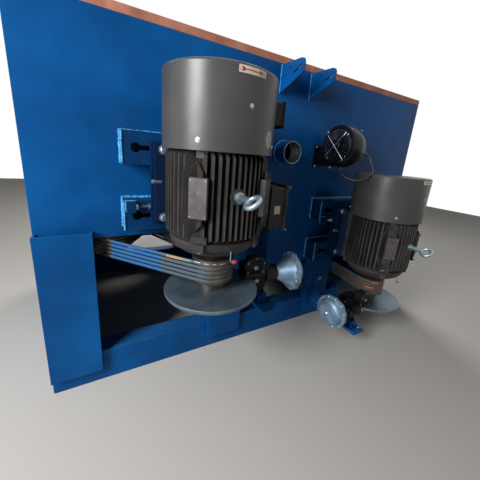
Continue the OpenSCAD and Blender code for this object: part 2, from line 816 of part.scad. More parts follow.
module air_chamber_1() { air_chamber(0); }
module air_chamber_2() { air_chamber(1); }

// Blower housing: a round case that narrows at the back, with its outlet to the wall
module blower() {
    x = motor_x[1] + blower_x;
    outlet_h = 112;
    flange = 22;
    narrow = 16;
    back = 55;
    color(black) {
        translate([x - blower_w / 2, -blower_y, blower_z]) rotate([0, 90, 0])
            rotate_extrude($fn = 96) polygon([
                [0, 8], [94, 8], [94, 0], [blower_r - 5, 0], [blower_r, 5], [blower_r, blower_w - back],
                [blower_r - narrow, blower_w], [62, blower_w], [62, blower_w + 28], [54, blower_w + 34],
                [0, blower_w + 34]
            ]);
        translate([x - blower_w / 2 + 4, -blower_y, blower_z - blower_r])
            cube([blower_w - 8, blower_y - 6, outlet_h]);
        translate([x - blower_w / 2 - flange, -10, blower_z - blower_r - flange])
            cube([blower_w + 2 * flange, 10, outlet_h + 2 * flange]);
    }
}

module blower_grille() {
    x = motor_x[1] + blower_x - blower_w / 2;
    rings = [97, 82, 67, 52, 37, 22];
    wire = 3;
    color(steel) translate([x - 2 * wire, -blower_y, blower_z]) rotate([0, 90, 0]) {
        for (r = rings) difference() {
            cylinder(r = r + wire / 2, h = 2 * wire);
            translate([0, 0, -1]) cylinder(r = r - wire / 2, h = 2 * wire + 2);
        }
        for (a = [45, 135]) rotate(a) translate([-112, -wire / 2, 0]) cube([224, wire, 2 * wire]);
    }
}

// Route of the blower's own lead, a loop from the back of its housing round to the bottom
cable_r = 5;
cable_route = [
    [66, -272, 1336], [87, -274, 1333.5], [105.5, -280.5, 1320], [116, -290, 1299],
    [119, -302, 1277], [115, -315, 1257], [105, -329, 1240], [90, -341, 1226],
    [72, -348.5, 1212], [53, -349, 1198], [35, -343, 1183.5], [17, -330, 1172.5],
    [1, -315, 1167], [-14, -297, 1166], [-27, -277, 1169.5], [-37, -256, 1177],
    [-42, -236, 1188], [-43, -216, 1202], [-38.5, -200, 1219], [-31, -190.5, 1235.5]
];

function unit(v) = v / norm(v);
function direction(k) = unit(
    cable_route[min(k + 1, len(cable_route) - 1)] - cable_route[max(k - 1, 0)]);
function ring(k, sides) =
    let (d = direction(k), u = unit(cross(d, [0, 1, 0.2])), v = cross(d, u))
    [for (i = [0 : sides - 1]) let (t = 360 * i / sides)
        cable_route[k] + cable_r * (cos(t) * u + sin(t) * v)];

module blower_cable() {
    sides = 8;
    n = len(cable_route);
    points = [for (k = [0 : n - 1]) each ring(k, sides)];
    walls = [for (k = [0 : n - 2], i = [0 : sides - 1]) let (j = (i + 1) % sides)
        [k * sides + i, k * sides + j, (k + 1) * sides + j, (k + 1) * sides + i]];
    start_cap = [[for (i = [sides - 1 : -1 : 0]) i]];
    end_cap = [[for (i = [0 : sides - 1]) (n - 1) * sides + i]];
    color(black) translate([motor_x[1] + blower_x, 0, 0])
        polyhedron(points, concat(walls, start_cap, end_cap));
}

// Flat sheet duct on the wall's inner side, from the blower to the pipe stub
module wall_duct() {
    duct_h = 200;
    duct_d = 90;
    sheet = 4;
    left = motor_x[0] + stub_x - stub_r - 24;
    right = motor_x[1] + blower_x + blower_w / 2 + 24;
    low = stub_z - duct_h / 2;
    color(galvanised) difference() {
        translate([left, wall_t, low]) cube([right - left, duct_d, duct_h]);
        translate([left + sheet, wall_t - 1, low + sheet])
            cube([right - left - 2 * sheet, duct_d - sheet + 1, duct_h - 2 * sheet]);
    }
}

module pipe_stub() {
    color(blue) translate([motor_x[0] + stub_x, 0, stub_z]) rotate([90, 0, 0]) difference() {
        cylinder(r = stub_r, h = stub_l);
        translate([0, 0, -1]) cylinder(r = stub_r - stub_t, h = stub_l + 2);
    }
}

// Triangular ears on the wall, each with a round hole and a slanted slot
module wall_ears() {
    top = wall_top - 6;
    hole_r = 9;
    color(blue) for (x = [ear_1, ear_2]) side_plate(motor_x[0] + x, ear_t) difference() {
        polygon([
            [0, top - ear_h], [0, top], [30 - ear_d, top - 6], [8 - ear_d, top - 14], [-ear_d, top - 30],
            [-ear_d, top - 66], [14 - ear_d, top - 84]
        ]);
        translate([-80, top - 34]) circle(hole_r);
        translate([-182, top - 48]) rotate(-21) square([70, 12]);
    }
}

base_rail_rear();
base_rail_front();
end_rails();
rear_legs();
front_wall();
end_wall_left();
end_wall_right();
inner_wall();
deck();
back_wall();
top_rim();
wall_ribs();
slide_rails_1();
slide_rails_2();
motor_plate_1();
motor_plate_2();
motor_frame_1();
motor_frame_2();
motor_cowl_1();
motor_cowl_2();
eyebolts();
fan_boxes();
end_shield_1();
end_shield_2();
terminal_box_1();
terminal_box_2();
motor_shaft_1();
motor_shaft_2();
motor_pulley_1();
motor_pulley_2();
brake_disc_1();
brake_disc_2();
belts_1();
belts_2();
big_pulley_1();
big_pulley_2();
gear_case_1();
gear_case_2();
drum_1();
drum_2();
die_box_1();
die_box_2();
brake_bracket_1();
brake_bracket_2();
brake_caliper_1();
brake_caliper_2();
air_chamber_1();
air_chamber_2();
blower();
blower_grille();
blower_cable();
wall_duct();
pipe_stub();
wall_ears();
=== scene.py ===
import json
import math
import bmesh
import bpy
from mathutils import Matrix, Vector


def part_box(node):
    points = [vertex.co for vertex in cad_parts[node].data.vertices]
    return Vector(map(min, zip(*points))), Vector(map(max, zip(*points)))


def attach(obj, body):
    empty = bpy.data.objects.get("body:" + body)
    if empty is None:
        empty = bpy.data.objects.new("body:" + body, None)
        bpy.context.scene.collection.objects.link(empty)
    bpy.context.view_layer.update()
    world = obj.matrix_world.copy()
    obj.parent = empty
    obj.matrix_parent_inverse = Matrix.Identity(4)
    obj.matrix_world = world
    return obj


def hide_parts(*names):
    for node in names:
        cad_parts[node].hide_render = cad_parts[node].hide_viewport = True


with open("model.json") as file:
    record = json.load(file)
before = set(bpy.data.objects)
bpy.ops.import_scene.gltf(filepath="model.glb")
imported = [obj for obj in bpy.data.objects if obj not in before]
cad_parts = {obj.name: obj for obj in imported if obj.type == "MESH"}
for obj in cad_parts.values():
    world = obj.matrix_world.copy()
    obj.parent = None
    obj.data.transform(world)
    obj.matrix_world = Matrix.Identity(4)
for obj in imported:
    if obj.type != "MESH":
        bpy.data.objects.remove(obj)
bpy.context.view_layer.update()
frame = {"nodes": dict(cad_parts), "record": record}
nodes = frame["nodes"]
scene = bpy.context.scene
print("frame loaded,", len(nodes), "nodes")

# The photograph's viewpoint, found from the machine's own edges and circles
cameraSettings = {
    "yaw": -0.526, "pitch": 0.2532, "roll": 0.0801, "place": (-1.0665, -1.337, 1.267),
    "focal": 249.628, "centre": (244.98, 219.707), "image": 480,
}


def placeCamera(c):
    level = Matrix(((1, 0, 0), (0, 0, -1), (0, 1, 0)))
    turn = Matrix.Rotation(c["roll"], 3, "Z") @ Matrix.Rotation(c["pitch"], 3, "X")
    rows = [Vector(r) for r in turn @ Matrix.Rotation(c["yaw"], 3, "Y") @ level]
    place = Matrix((rows[0], -rows[1], -rows[2])).transposed().to_4x4()
    place.translation = c["place"]
    camera = bpy.data.objects.new("camera", bpy.data.cameras.new("camera"))
    scene.collection.objects.link(camera)
    camera.matrix_world = place
    camera.data.lens = c["focal"] / c["image"] * 36
    camera.data.shift_x = (c["image"] / 2 - c["centre"][0]) / c["image"]
    camera.data.shift_y = (c["centre"][1] - c["image"] / 2) / c["image"]
    scene.camera = camera


placeCamera(cameraSettings)


def middle(node):
    low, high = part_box(node)
    return (low + high) / 2


# Motor axes in plan, and how far each bay hangs below the first
axes = [middle("motor_shaft_1").xy, middle("motor_shaft_2").xy]
drops = [0.0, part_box("motor_cowl_1")[0].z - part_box("motor_cowl_2")[0].z]


# A point given from a motor's axis at the first bay's height, put into its own bay
def atMotor(bay, x, y, z):
    return Vector((axes[bay].x + x, axes[bay].y + y, z - drops[bay]))


def toLinear(code):
    parts = [int(code[k:k + 2], 16) / 255 for k in (1, 3, 5)]
    return tuple(c / 12.92 if c <= 0.04045 else ((c + 0.055) / 1.055) ** 2.4 for c in parts) + (1.0,)


# Adds a node with its settings; inputs holds values or the sockets that feed it
def addNode(tree, kind, inputs=None, stops=None, **settings):
    node = tree.nodes.new(kind)
    for name, value in settings.items():
        setattr(node, name, value)
    for key, value in (inputs or {}).items():
        if isinstance(value, bpy.types.NodeSocket):
            tree.links.new(value, node.inputs[key])
        else:
            node.inputs[key].default_value = value
    if stops:
        ramp = node.color_ramp.elements
        while len(ramp) < len(stops):
            ramp.new(0.5)
        for element, (at, colour) in zip(ramp, stops):
            element.position = at
            element.color = toLinear(colour) if isinstance(colour, str) else (colour,) * 3 + (1,)
    return node


def newMaterial(name, look):
    material = bpy.data.materials.new(name)
    material.use_nodes = True
    tree = material.node_tree
    shader = tree.nodes["Principled BSDF"]
    for socket, key in (("Roughness", "rough"), ("Specular IOR Level", "gloss"), ("Metallic", "metal")):
        shader.inputs[socket].default_value = look[key]
    return material, tree, shader, addNode(tree, "ShaderNodeTexCoord").outputs["Object"]


# Ties a finish to its shader; the relief is three tenths as deep as its noise is wide
def tieShader(tree, shader, tone, rough, relief, strength, width):
    bump = addNode(tree, "ShaderNodeBump", {"Height": relief, "Strength": strength, "Distance": width * 0.3})
    for socket, value in (("Base Color", tone), ("Roughness", rough), ("Normal", bump.outputs["Normal"])):
        tree.links.new(value, shader.inputs[socket])


# A patch of tone round one point, ragged at its edge: scuffs, brushed paint and painted shade
def patchTone(tree, place, tone, at, size, ragged, colour, fray=0.9, most=1.0):
    scaled = addNode(tree, "ShaderNodeMapping", {
        "Vector": place, "Location": [-a / s for a, s in zip(at, size)], "Scale": [1 / s for s in size]})
    away = addNode(tree, "ShaderNodeVectorMath", {0: scaled.outputs["Vector"]}, operation="LENGTH")
    noise = addNode(tree, "ShaderNodeTexNoise", {
        "Vector": place, "Scale": 1 / ragged, "Detail": 4.0, "Roughness": 0.7})
    edge = addNode(tree, "ShaderNodeMath", {0: noise.outputs["Fac"], 1: fray, 2: away.outputs["Value"]},
                   operation="MULTIPLY_ADD")
    mask = addNode(tree, "ShaderNodeMapRange", {
        "Value": edge.outputs["Value"], "From Min": 1.45, "From Max": 1.3, "To Max": most})
    return addNode(tree, "ShaderNodeMix", {0: mask.outputs["Result"], 6: tone, 7: toLinear(colour)},
                   data_type="RGBA").outputs[2]


# What a finish has where it doesn't say otherwise. Tones are deep, middle and pale, sizes in metres
enamelLook = {"cloud": 0.05, "speck": 0.004, "specks": 0.3, "dusty": 0.25, "rough": 0.34, "gloss": 0.1,
              "metal": 0.0, "peel": 0.004, "bump": 0.25, "patches": ()}
metalLook = {"cloud": 0.05, "spots": 0.35, "gloss": 0.5, "metal": 1.0, "sheen": 0.1, "marks": "grain",
             "pitch": 0.003, "bump": 0.1}
finishes = {}


# Brushed or sprayed enamel: slow clouds of tone, fine specks, dust on what faces up, orange peel
def enamel(name, **given):
    look = {**enamelLook, **given}
    material, tree, shader, place = newMaterial(name, look)
    dust = toLinear(look["dust"])
    cloud = addNode(tree, "ShaderNodeTexNoise", {
        "Vector": place, "Scale": 1 / look["cloud"], "Detail": 5.0, "Roughness": 0.55}).outputs["Fac"]
    tone = addNode(tree, "ShaderNodeValToRGB", {"Fac": cloud},
                   stops=list(zip((0.3, 0.5, 0.72), look["tones"]))).outputs["Color"]
    grain = addNode(tree, "ShaderNodeTexNoise", {
        "Vector": place, "Scale": 1 / look["speck"], "Detail": 3.0, "Roughness": 0.7}).outputs["Fac"]
    specks = addNode(tree, "ShaderNodeValToRGB", {"Fac": grain},
                     stops=[(0.62, 0.0), (0.74, look["specks"])]).outputs["Color"]
    tone = addNode(tree, "ShaderNodeMix", {0: specks, 6: tone, 7: dust}, data_type="RGBA").outputs[2]
    normal = addNode(tree, "ShaderNodeNewGeometry").outputs["Normal"]
    facing = addNode(tree, "ShaderNodeSeparateXYZ", {"Vector": normal}).outputs["Z"]
    upward = addNode(tree, "ShaderNodeMapRange", {
        "Value": facing, "From Min": 0.35, "From Max": 1.0, "To Max": look["dusty"]}).outputs["Result"]
    patchy = addNode(tree, "ShaderNodeMath", {0: upward, 1: cloud}, operation="MULTIPLY").outputs["Value"]
    tone = addNode(tree, "ShaderNodeMix", {0: patchy, 6: tone, 7: dust}, data_type="RGBA").outputs[2]
    for patch in look["patches"]:
        tone = patchTone(tree, place, tone, **patch)
    rough = addNode(tree, "ShaderNodeMapRange", {
        "Value": cloud, "From Min": 0.3, "From Max": 0.7,
        "To Min": look["rough"] - 0.06, "To Max": look["rough"] + 0.08}).outputs["Result"]
    peel = addNode(tree, "ShaderNodeTexNoise", {
        "Vector": place, "Scale": 1 / look["peel"], "Detail": 2.0}).outputs["Fac"]
    tieShader(tree, shader, tone, rough, peel, look["bump"], look["peel"])
    finishes[name] = material


# Bare metal: tone in clouds, stain in spots, and tool marks as rings round the axes or lines along Z
def bareMetal(name, **given):
    look = {**metalLook, **given}
    material, tree, shader, place = newMaterial(name, look)
    cloud = addNode(tree, "ShaderNodeTexNoise", {
        "Vector": place, "Scale": 1 / look["cloud"], "Detail": 6.0, "Roughness": 0.6}).outputs["Fac"]
    tone = addNode(tree, "ShaderNodeValToRGB", {"Fac": cloud},
                   stops=list(zip((0.32, 0.5, 0.68), look["tones"]))).outputs["Color"]
    spot = addNode(tree, "ShaderNodeTexNoise", {
        "Vector": place, "Scale": 1 / look["spot"], "Detail": 4.0, "Roughness": 0.65}).outputs["Fac"]
    spots = addNode(tree, "ShaderNodeValToRGB", {"Fac": spot},
                    stops=[(0.54, 0.0), (0.7, look["spots"])]).outputs["Color"]
    tone = addNode(tree, "ShaderNodeMix", {0: spots, 6: tone, 7: toLinear(look["stain"])},
                   data_type="RGBA").outputs[2]
    track, detail = place, 2.0
    if look["marks"] == "rings":
        reaches = []
        for axis in axes:
            moved = addNode(tree, "ShaderNodeMapping", {
                "Vector": place, "Location": (-axis.x, -axis.y, 0), "Scale": (1, 1, 0)})
            reaches.append(addNode(tree, "ShaderNodeVectorMath", {0: moved.outputs["Vector"]},
                                   operation="LENGTH").outputs["Value"])
        nearest = addNode(tree, "ShaderNodeMath", dict(enumerate(reaches)), operation="MINIMUM")
        track = addNode(tree, "ShaderNodeCombineXYZ", {"X": nearest.outputs["Value"]}).outputs["Vector"]
        detail = 3.0
    elif look["marks"] == "lines":
        flat = addNode(tree, "ShaderNodeMapping", {"Vector": place, "Scale": (0.02, 0.02, 1)})
        track, detail = flat.outputs["Vector"], 3.0
    relief = addNode(tree, "ShaderNodeTexNoise", {
        "Vector": track, "Scale": 1 / look["pitch"], "Detail": detail}).outputs["Fac"]
    rough = addNode(tree, "ShaderNodeMapRange", {
        "Value": relief, "From Min": 0.3, "From Max": 0.7,
        "To Min": look["rough"] - look["sheen"], "To Max": look["rough"] + look["sheen"]}).outputs["Result"]
    tieShader(tree, shader, tone, rough, relief, look["bump"], look["pitch"])
    finishes[name] = material


# Worn and overpainted places and painted shade: the scraped patch on the first cowl, painted shade over the
# motors' feet, a blue-grey and blue tone over the belts' open strands, and the welded clevis below each
# caliper, brushed blue
scrapedCowl = [dict(at=atMotor(0, 0.122, -0.184, 1.3275), size=(0.03, 0.03, 0.034), ragged=0.012,
                    colour="#c9c2b8", most=0.85)]
# dark navy over the motors' feet: painted shade
shadedFeet = [dict(at=atMotor(bay, side * 0.19, 0.215, 1.106), size=(0.06, 0.058, 0.4), ragged=0.05,
                    colour="#061a38", fray=0.3) for bay in (0, 1) for side in (-1, 1)]
clevisBlue = [dict(at=atMotor(bay, x, y, 0.532), size=(0.046, 0.058, 0.034), ragged=0.006,
                   colour="#0b4a84", most=0.95) for bay, x, y in ((0, 0.298, 0.014), (1, -0.218, -0.061))]
# blue-grey and blue tones where the belts' strands run in the open
strandTone = [dict(at=atMotor(0, -0.13, 0.13, 0.765), size=(0.13, 0.2, 0.5), ragged=0.05,
                    colour="#3d5061", fray=0.3, most=0.8),
               dict(at=atMotor(0, -0.285, 0.27, 0.765), size=(0.095, 0.16, 0.5), ragged=0.04,
                    colour="#0f5488", fray=0.2, most=0.92),
               dict(at=atMotor(1, 0.03, 0.44, 0.765), size=(0.14, 0.14, 0.5), ragged=0.04,
                    colour="#1c6787", fray=0.25, most=0.8)]
blackLook = {"tones": ("#070709", "#0b0c0e", "#121316"), "dust": "#2f2c29", "specks": 0.14, "peel": 0.003}

# two-coat machine enamel, brushed and rolled over plate: deep blue, glossy, with slow clouds
enamel("blueEnamel", tones=("#043c70", "#064a86", "#0a599a"), dust="#4f7d9a", cloud=0.42,
       speck=0.006, specks=0.1, rough=0.32, bump=0.15)
# the same enamel pooled over weld ripples, so glossier, and paler than the plate's blue as a painted
# highlight on the beads
enamel("highlitWeldEnamel", tones=("#1268a4", "#2286c0", "#54b0da"), dust="#b4ccd8", dusty=0.3, rough=0.24,
       gloss=0.5, peel=0.002, bump=0.2)
# red oxide primer showing on the top edge, flat and chalky
enamel("edgePrimer", tones=("#8e5a4a", "#a9705c", "#bd8873"), dust="#c8b0a4", cloud=0.12, speck=0.005,
       rough=0.7, gloss=0.3, peel=0.003)
# grey enamel over sand-cast iron, so pebbled, with painted shade over the feet
enamel("castEnamel", tones=("#2a2827", "#343231", "#3d3b3a"), dust="#5d564f", cloud=0.11, specks=0.22,
       dusty=0.3, rough=0.4, gloss=0.24, peel=0.0035, bump=0.4, patches=shadedFeet)
# the same grey sprayed on rolled sheet: smooth, faintly warm
enamel("sheetEnamel", tones=("#31302f", "#393837", "#413f3e"), dust="#5f5952", cloud=0.2, speck=0.005,
       specks=0.08, dusty=0.3, rough=0.36, gloss=0.42, peel=0.003, bump=0.08, patches=scrapedCowl)
# black stove enamel on the blower and trim, and on the brake castings with their blue clevises
enamel("blackEnamel", gloss=0.16, **blackLook)
enamel("caliperEnamel", gloss=0.14, patches=clevisBlue, **blackLook)
# the slide rails' deep blue, painted darker and closer in tone as painted shade
enamel("shadedRailEnamel", tones=("#04254a", "#052f5a", "#083d6c"), dust="#27506f", cloud=0.15, speck=0.005,
       specks=0.12, rough=0.3, bump=0.2)
# the mounting plates' blue, painted dark and matt as painted shade where the motors shade them
enamel("shadedPlateEnamel", tones=("#041733", "#051e40", "#08294f"), dust="#10294a", cloud=0.15, speck=0.005,
       specks=0.12, dusty=0.15, rough=0.6, gloss=0.04, bump=0.2)
# black cable sheath, plasticised PVC: smooth, faintly shiny, dusty
enamel("cableSheath", tones=("#131315", "#1b1b1d", "#2a2a2d"), dust="#6d675f", cloud=0.03, speck=0.003,
       specks=0.25, dusty=0.3, rough=0.42, gloss=0.5, peel=0.002, bump=0.12)
# wrapped rubber, dark and dull, with blue-grey and blue tones and dust where the strand runs in the open
enamel("wrappedRubber", tones=("#3a3835", "#4a4743", "#5c5853"), dust="#8d8a84", cloud=0.06, speck=0.003,
       specks=0.4, dusty=0.3, rough=0.5, gloss=0.45, peel=0.0014, bump=0.35, patches=strandTone)
# thin printed plates and labels: coated aluminium and plastic, and pale marks, flat and faintly soiled
for name, tones in {
        "creamPlate": ("#bdb19e", "#cfc4b2", "#dbd2c2"), "redPrint": ("#8c2731", "#a3303a", "#b23e47"),
        "redPlastic": ("#b12832", "#c8323c", "#d6434c"), "tanPrint": ("#8f6d4b", "#a8845f", "#b9966f"),
        "greenPrint": ("#3d7357", "#4f8a6c", "#62a07f"), "orangePrint": ("#934420", "#b5562a", "#c76a3b"),
        "paleMark": ("#a39d94", "#c9c4bc", "#dedad3")}.items():
    enamel(name, tones=tones, dust="#6d6459", cloud=0.02, speck=0.0015, dusty=0.2, rough=0.42, gloss=0.4,
           peel=0.001, bump=0.1)
# turned steel plate with a blue-brown heat and handling stain
bareMetal("turnedSteel", tones=("#4f616d", "#62737f", "#7c8a94"), stain="#6a6560", cloud=0.12, spot=0.05,
          rough=0.4, marks="rings", pitch=0.0022, bump=0.25, metal=0.65)
# yellow-free zinc plating, bright with a blue cast
bareMetal("zincPlate", tones=("#748b9b", "#8fa3b0", "#adbac2"), stain="#6d7a82", cloud=0.06, spot=0.02,
          rough=0.38, sheen=0.07, bump=0.08, metal=0.85)
# zinc plated pressings that have blued and dulled, so they hold soft light instead of mirroring it
bareMetal("bluedZinc", tones=("#5a7791", "#6f8aa1", "#8ba2b4"), stain="#575f66", spot=0.015, spots=0.4,
          rough=0.46, sheen=0.07, metal=0.55)
# polished stainless wire, nearly white where the light catches it
bareMetal("polishedWire", tones=("#c2c7cc", "#d6dade", "#e8ebee"), stain="#9aa0a5", spot=0.01, spots=0.2,
          rough=0.2, sheen=0.05, bump=0.05)
# machined grey iron, oiled dark, with a film of rust
bareMetal("machinedIron", tones=("#3f3b38", "#55504b", "#6b645c"), stain="#8a4f2c", spot=0.03, spots=0.4,
          rough=0.45, marks="lines", pitch=0.002, bump=0.2, metal=0.75)
# ground and hard-coated drum face, marked by the wire
bareMetal("groundSteel", tones=("#8b8f94", "#a5a8ac", "#bcbec1"), stain="#6d6a66", cloud=0.15, spot=0.05,
          spots=0.3, rough=0.24, marks="lines", pitch=0.0025, bump=0.15)
# hot-dip galvanised sheet with its spangle
bareMetal("galvanisedSheet", tones=("#8a9194", "#a3a9ab", "#bcc1c2"), stain="#c9cdcd", cloud=0.03,
          spot=0.012, spots=0.5, rough=0.42, pitch=0.01)
# etched aluminium nameplate, greyed by handling
bareMetal("etchedPlate", tones=("#474347", "#524e52", "#5d595d"), stain="#3e3a38", cloud=0.03, spot=0.012,
          rough=0.46, sheen=0.08, pitch=0.0015, metal=0.55)
print("finishes made,", len(finishes))


# Makes a bmesh a piece that rides on a body
def addPiece(name, shape, finish, body="frame", smooth=False):
    mesh = bpy.data.meshes.new(name)
    bmesh.ops.recalc_face_normals(shape, faces=shape.faces)
    shape.to_mesh(mesh)
    shape.free()
    mesh.materials.append(finishes[finish])
    mesh.shade_smooth() if smooth else mesh.shade_flat()
    piece = bpy.data.objects.new(name, mesh)
    scene.collection.objects.link(piece)
    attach(piece, body)
    return piece


# A matrix that puts local Z along a direction at a place
def aim(at, along):
    return Matrix.Translation(at) @ Vector(along).to_track_quat("Z", "Y").to_matrix().to_4x4()


# The (x, y) points of a ring; offset is in steps
def ring(count, radius, offset=0.0):
    turns = [2 * math.pi * (k + offset) / count for k in range(count)]
    return [(radius * math.cos(t), radius * math.sin(t)) for t in turns]


# Turns a profile of (radius, height) about local Z; a radius of 0 is a pole
def addTurned(shape, profile, place, sides):
    rings = []
    for radius, height in profile:
        circle = ring(sides, radius) if radius else [(0, 0)]
        rings.append([shape.verts.new(place @ Vector((x, y, height))) for x, y in circle])
    for low, high in zip(rings, rings[1:]):
        for k in range(sides):
            n = (k + 1) % sides
            corners = [low[k % len(low)], low[n % len(low)], high[n % len(high)], high[k % len(high)]]
            corners = list(dict.fromkeys(corners))
            if len(corners) > 2:
                shape.faces.new(corners)


# Faces from each ring of corners to the next; a closed run joins up, an open one gets a face at each end
def addSkin(shape, rings, closed=False):
    for low, high in zip(rings, rings[1:] + rings[:1] if closed else rings[1:]):
        for i in range(len(low)):
            j = (i + 1) % len(low)
            shape.faces.new((low[i], low[j], high[j], high[i]))
    if not closed:
        shape.faces.new(list(reversed(rings[0])))
        shape.faces.new(rings[-1])


# Extrudes an outline of (x, y) from z = low to z = high in its own place
def addPrism(shape, outline, low, high, place):
    addSkin(shape, [[shape.verts.new(place @ Vector((x, y, z))) for x, y in outline] for z in (low, high)])


# A closed or open run of one profile along points, with the profile kept upright
def addSwept(shape, points, profile, closed):
    rings, count = [], len(points)
    for k, point in enumerate(points):
        before = points[k - 1] if closed or k else point
        after = points[(k + 1) % count] if closed or k < count - 1 else point
        along = (after - before).normalized()
        out = Vector((0, 0, 1)).cross(along).normalized()
        rings.append([shape.verts.new(point + out * a + Vector((0, 0, b))) for a, b in profile])
    addSkin(shape, rings, closed)


# Starts a Geometry Nodes tree; sockets holds the names of its own inputs by kind
def startTree(name, sockets):
    tree = bpy.data.node_groups.new(name, "GeometryNodeTree")
    for kind, labels in {"Geometry": ["Geometry"], **sockets, "Material": ["Finish"]}.items():
        for label in labels:
            tree.interface.new_socket(label, in_out="INPUT", socket_type="NodeSocket" + kind)
    tree.interface.new_socket("Geometry", in_out="OUTPUT", socket_type="NodeSocketGeometry")
    return tree, addNode(tree, "NodeGroupInput").outputs


def endTree(tree, shape, material, smooth):
    for kind, inputs in (("RealizeInstances", {}), ("SetShadeSmooth", {"Shade Smooth": smooth}),
                         ("SetMaterial", {"Material": material})):
        shape = addNode(tree, "GeometryNode" + kind, {"Geometry": shape, **inputs}).outputs[0]
    addNode(tree, "NodeGroupOutput", {0: shape})


# Runs a tree on a seed mesh and keeps the result as a plain mesh
def grow(name, seed, tree, values, body):
    piece = bpy.data.objects.new(name, seed)
    scene.collection.objects.link(piece)
    modifier = piece.modifiers.new("grow", "NODES")
    modifier.node_group = tree
    for item in tree.interface.items_tree:
        if item.in_out == "INPUT" and item.name in values:
            modifier[item.identifier] = values[item.name]
    depsgraph = bpy.context.evaluated_depsgraph_get()
    mesh = bpy.data.meshes.new_from_object(piece.evaluated_get(depsgraph))
    piece.modifiers.clear()
    piece.data = mesh
    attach(piece, body)
    print("grown", name, len(mesh.polygons), "faces")


# Sets an instance on each seed point, scaled by its size, turned to its facing and about its own axis
def setFacing(tree, points, instance, angle):
    facing = addNode(tree, "GeometryNodeInputNamedAttribute", {"Name": "facing"}, data_type="FLOAT_VECTOR")
    size = addNode(tree, "GeometryNodeInputNamedAttribute", {"Name": "size"}, data_type="FLOAT")
    turned = addNode(tree, "FunctionNodeAlignRotationToVector", {"Vector": facing.outputs[0]}, axis="Z")
    spun = addNode(tree, "FunctionNodeAxisAngleToRotation", {"Axis": (0, 0, 1), "Angle": angle})
    both = addNode(tree, "FunctionNodeRotateRotation", {
        "Rotation": turned.outputs[0], "Rotate By": spun.outputs[0]}, rotation_space="LOCAL")
    return addNode(tree, "GeometryNodeInstanceOnPoints", {
        "Points": points, "Instance": instance, "Rotation": both.outputs[0],
        "Scale": size.outputs[0]}).outputs[0]


# Bolt heads: a chamfered head on a washer, one on each seed point, turned to face out
def makeBoltTree():
    tree, given = startTree("boltHeads", {
        "Int": ["Sides", "Seed"], "Float": ["Head height", "Washer radius", "Washer thickness"]})
    sides, thick = given["Sides"], given["Washer thickness"]
    straight, capped = (addNode(tree, "ShaderNodeMath", {0: given["Head height"], 1: share},
                                operation="MULTIPLY").outputs[0] for share in (0.78, 0.22))
    head = addNode(tree, "GeometryNodeMeshCylinder", {"Vertices": sides, "Radius": 1.0, "Depth": straight})
    cap = addNode(tree, "GeometryNodeMeshCone", {
        "Vertices": sides, "Radius Top": 0.8, "Radius Bottom": 1.0, "Depth": capped})
    washer = addNode(tree, "GeometryNodeMeshCylinder", {
        "Vertices": 20, "Radius": given["Washer radius"], "Depth": thick})
    whole = addNode(tree, "GeometryNodeJoinGeometry")
    for part, operation, values in ((washer, "MULTIPLY", {0: thick, 1: 0.5}),
                                    (cap, "ADD", {0: straight, 1: thick}),
                                    (head, "MULTIPLY_ADD", {0: straight, 1: 0.5, 2: thick})):
        rise = addNode(tree, "ShaderNodeMath", values, operation=operation).outputs[0]
        lift = addNode(tree, "ShaderNodeCombineXYZ", {"Z": rise}).outputs[0]
        moved = addNode(tree, "GeometryNodeTransform", {
            "Geometry": part.outputs["Mesh"], "Translation": lift})
        tree.links.new(moved.outputs[0], whole.inputs[0])
    spin = addNode(tree, "FunctionNodeRandomValue", {2: 0.0, 3: 6.283, "Seed": given["Seed"]})
    placed = setFacing(tree, given["Geometry"], whole.outputs[0], spin.outputs[1])
    endTree(tree, placed, given["Finish"], False)
    return tree


# Weld runs: overlapping flattened beads along every edge of the seed, each a little different
def makeWeldTree():
    tree, given = startTree("weldBeads", {"Float": ["Spacing", "Bead radius"], "Int": ["Seed"]})
    curve = addNode(tree, "GeometryNodeMeshToCurve", {"Mesh": given["Geometry"]}).outputs[0]
    steps = addNode(tree, "GeometryNodeResampleCurve", {"Curve": curve, "Length": given["Spacing"]},
                    mode="LENGTH")
    bead = addNode(tree, "GeometryNodeMeshUVSphere", {"Radius": 1.0, "Segments": 8, "Rings": 5})
    along = addNode(tree, "GeometryNodeInputTangent")
    turned = addNode(tree, "FunctionNodeAlignRotationToVector", {"Vector": along.outputs[0]}, axis="Z")
    vary = addNode(tree, "FunctionNodeRandomValue", {
        "Min": (0.75, 0.75, 0.6), "Max": (1.2, 1.2, 1.0), "Seed": given["Seed"]}, data_type="FLOAT_VECTOR")
    scale = addNode(tree, "ShaderNodeVectorMath", {0: vary.outputs[0], 3: given["Bead radius"]},
                    operation="SCALE")
    placed = addNode(tree, "GeometryNodeInstanceOnPoints", {
        "Points": steps.outputs[0], "Instance": bead.outputs[0],
        "Rotation": turned.outputs[0], "Scale": scale.outputs[0]})
    endTree(tree, placed.outputs[0], given["Finish"], True)
    return tree


boltTree, weldTree = makeBoltTree(), makeWeldTree()


def seedPoints(name, bolts):
    seed = bpy.data.meshes.new(name)
    seed.from_pydata([b[0] for b in bolts], [], [])
    seed.attributes.new("facing", "FLOAT_VECTOR", "POINT")
    seed.attributes.new("size", "FLOAT", "POINT")
    for k, bolt in enumerate(bolts):
        seed.attributes["facing"].data[k].vector = bolt[1]
        seed.attributes["size"].data[k].value = bolt[2]
    return seed


def seedRuns(name, runs):
    points, edges = [], []
    for run in runs:
        start = len(points)
        points += [tuple(p) for p in run]
        edges += [(start + k, start + k + 1) for k in range(len(run) - 1)]
    seed = bpy.data.meshes.new(name)
    seed.from_pydata(points, edges, [])
    return seed
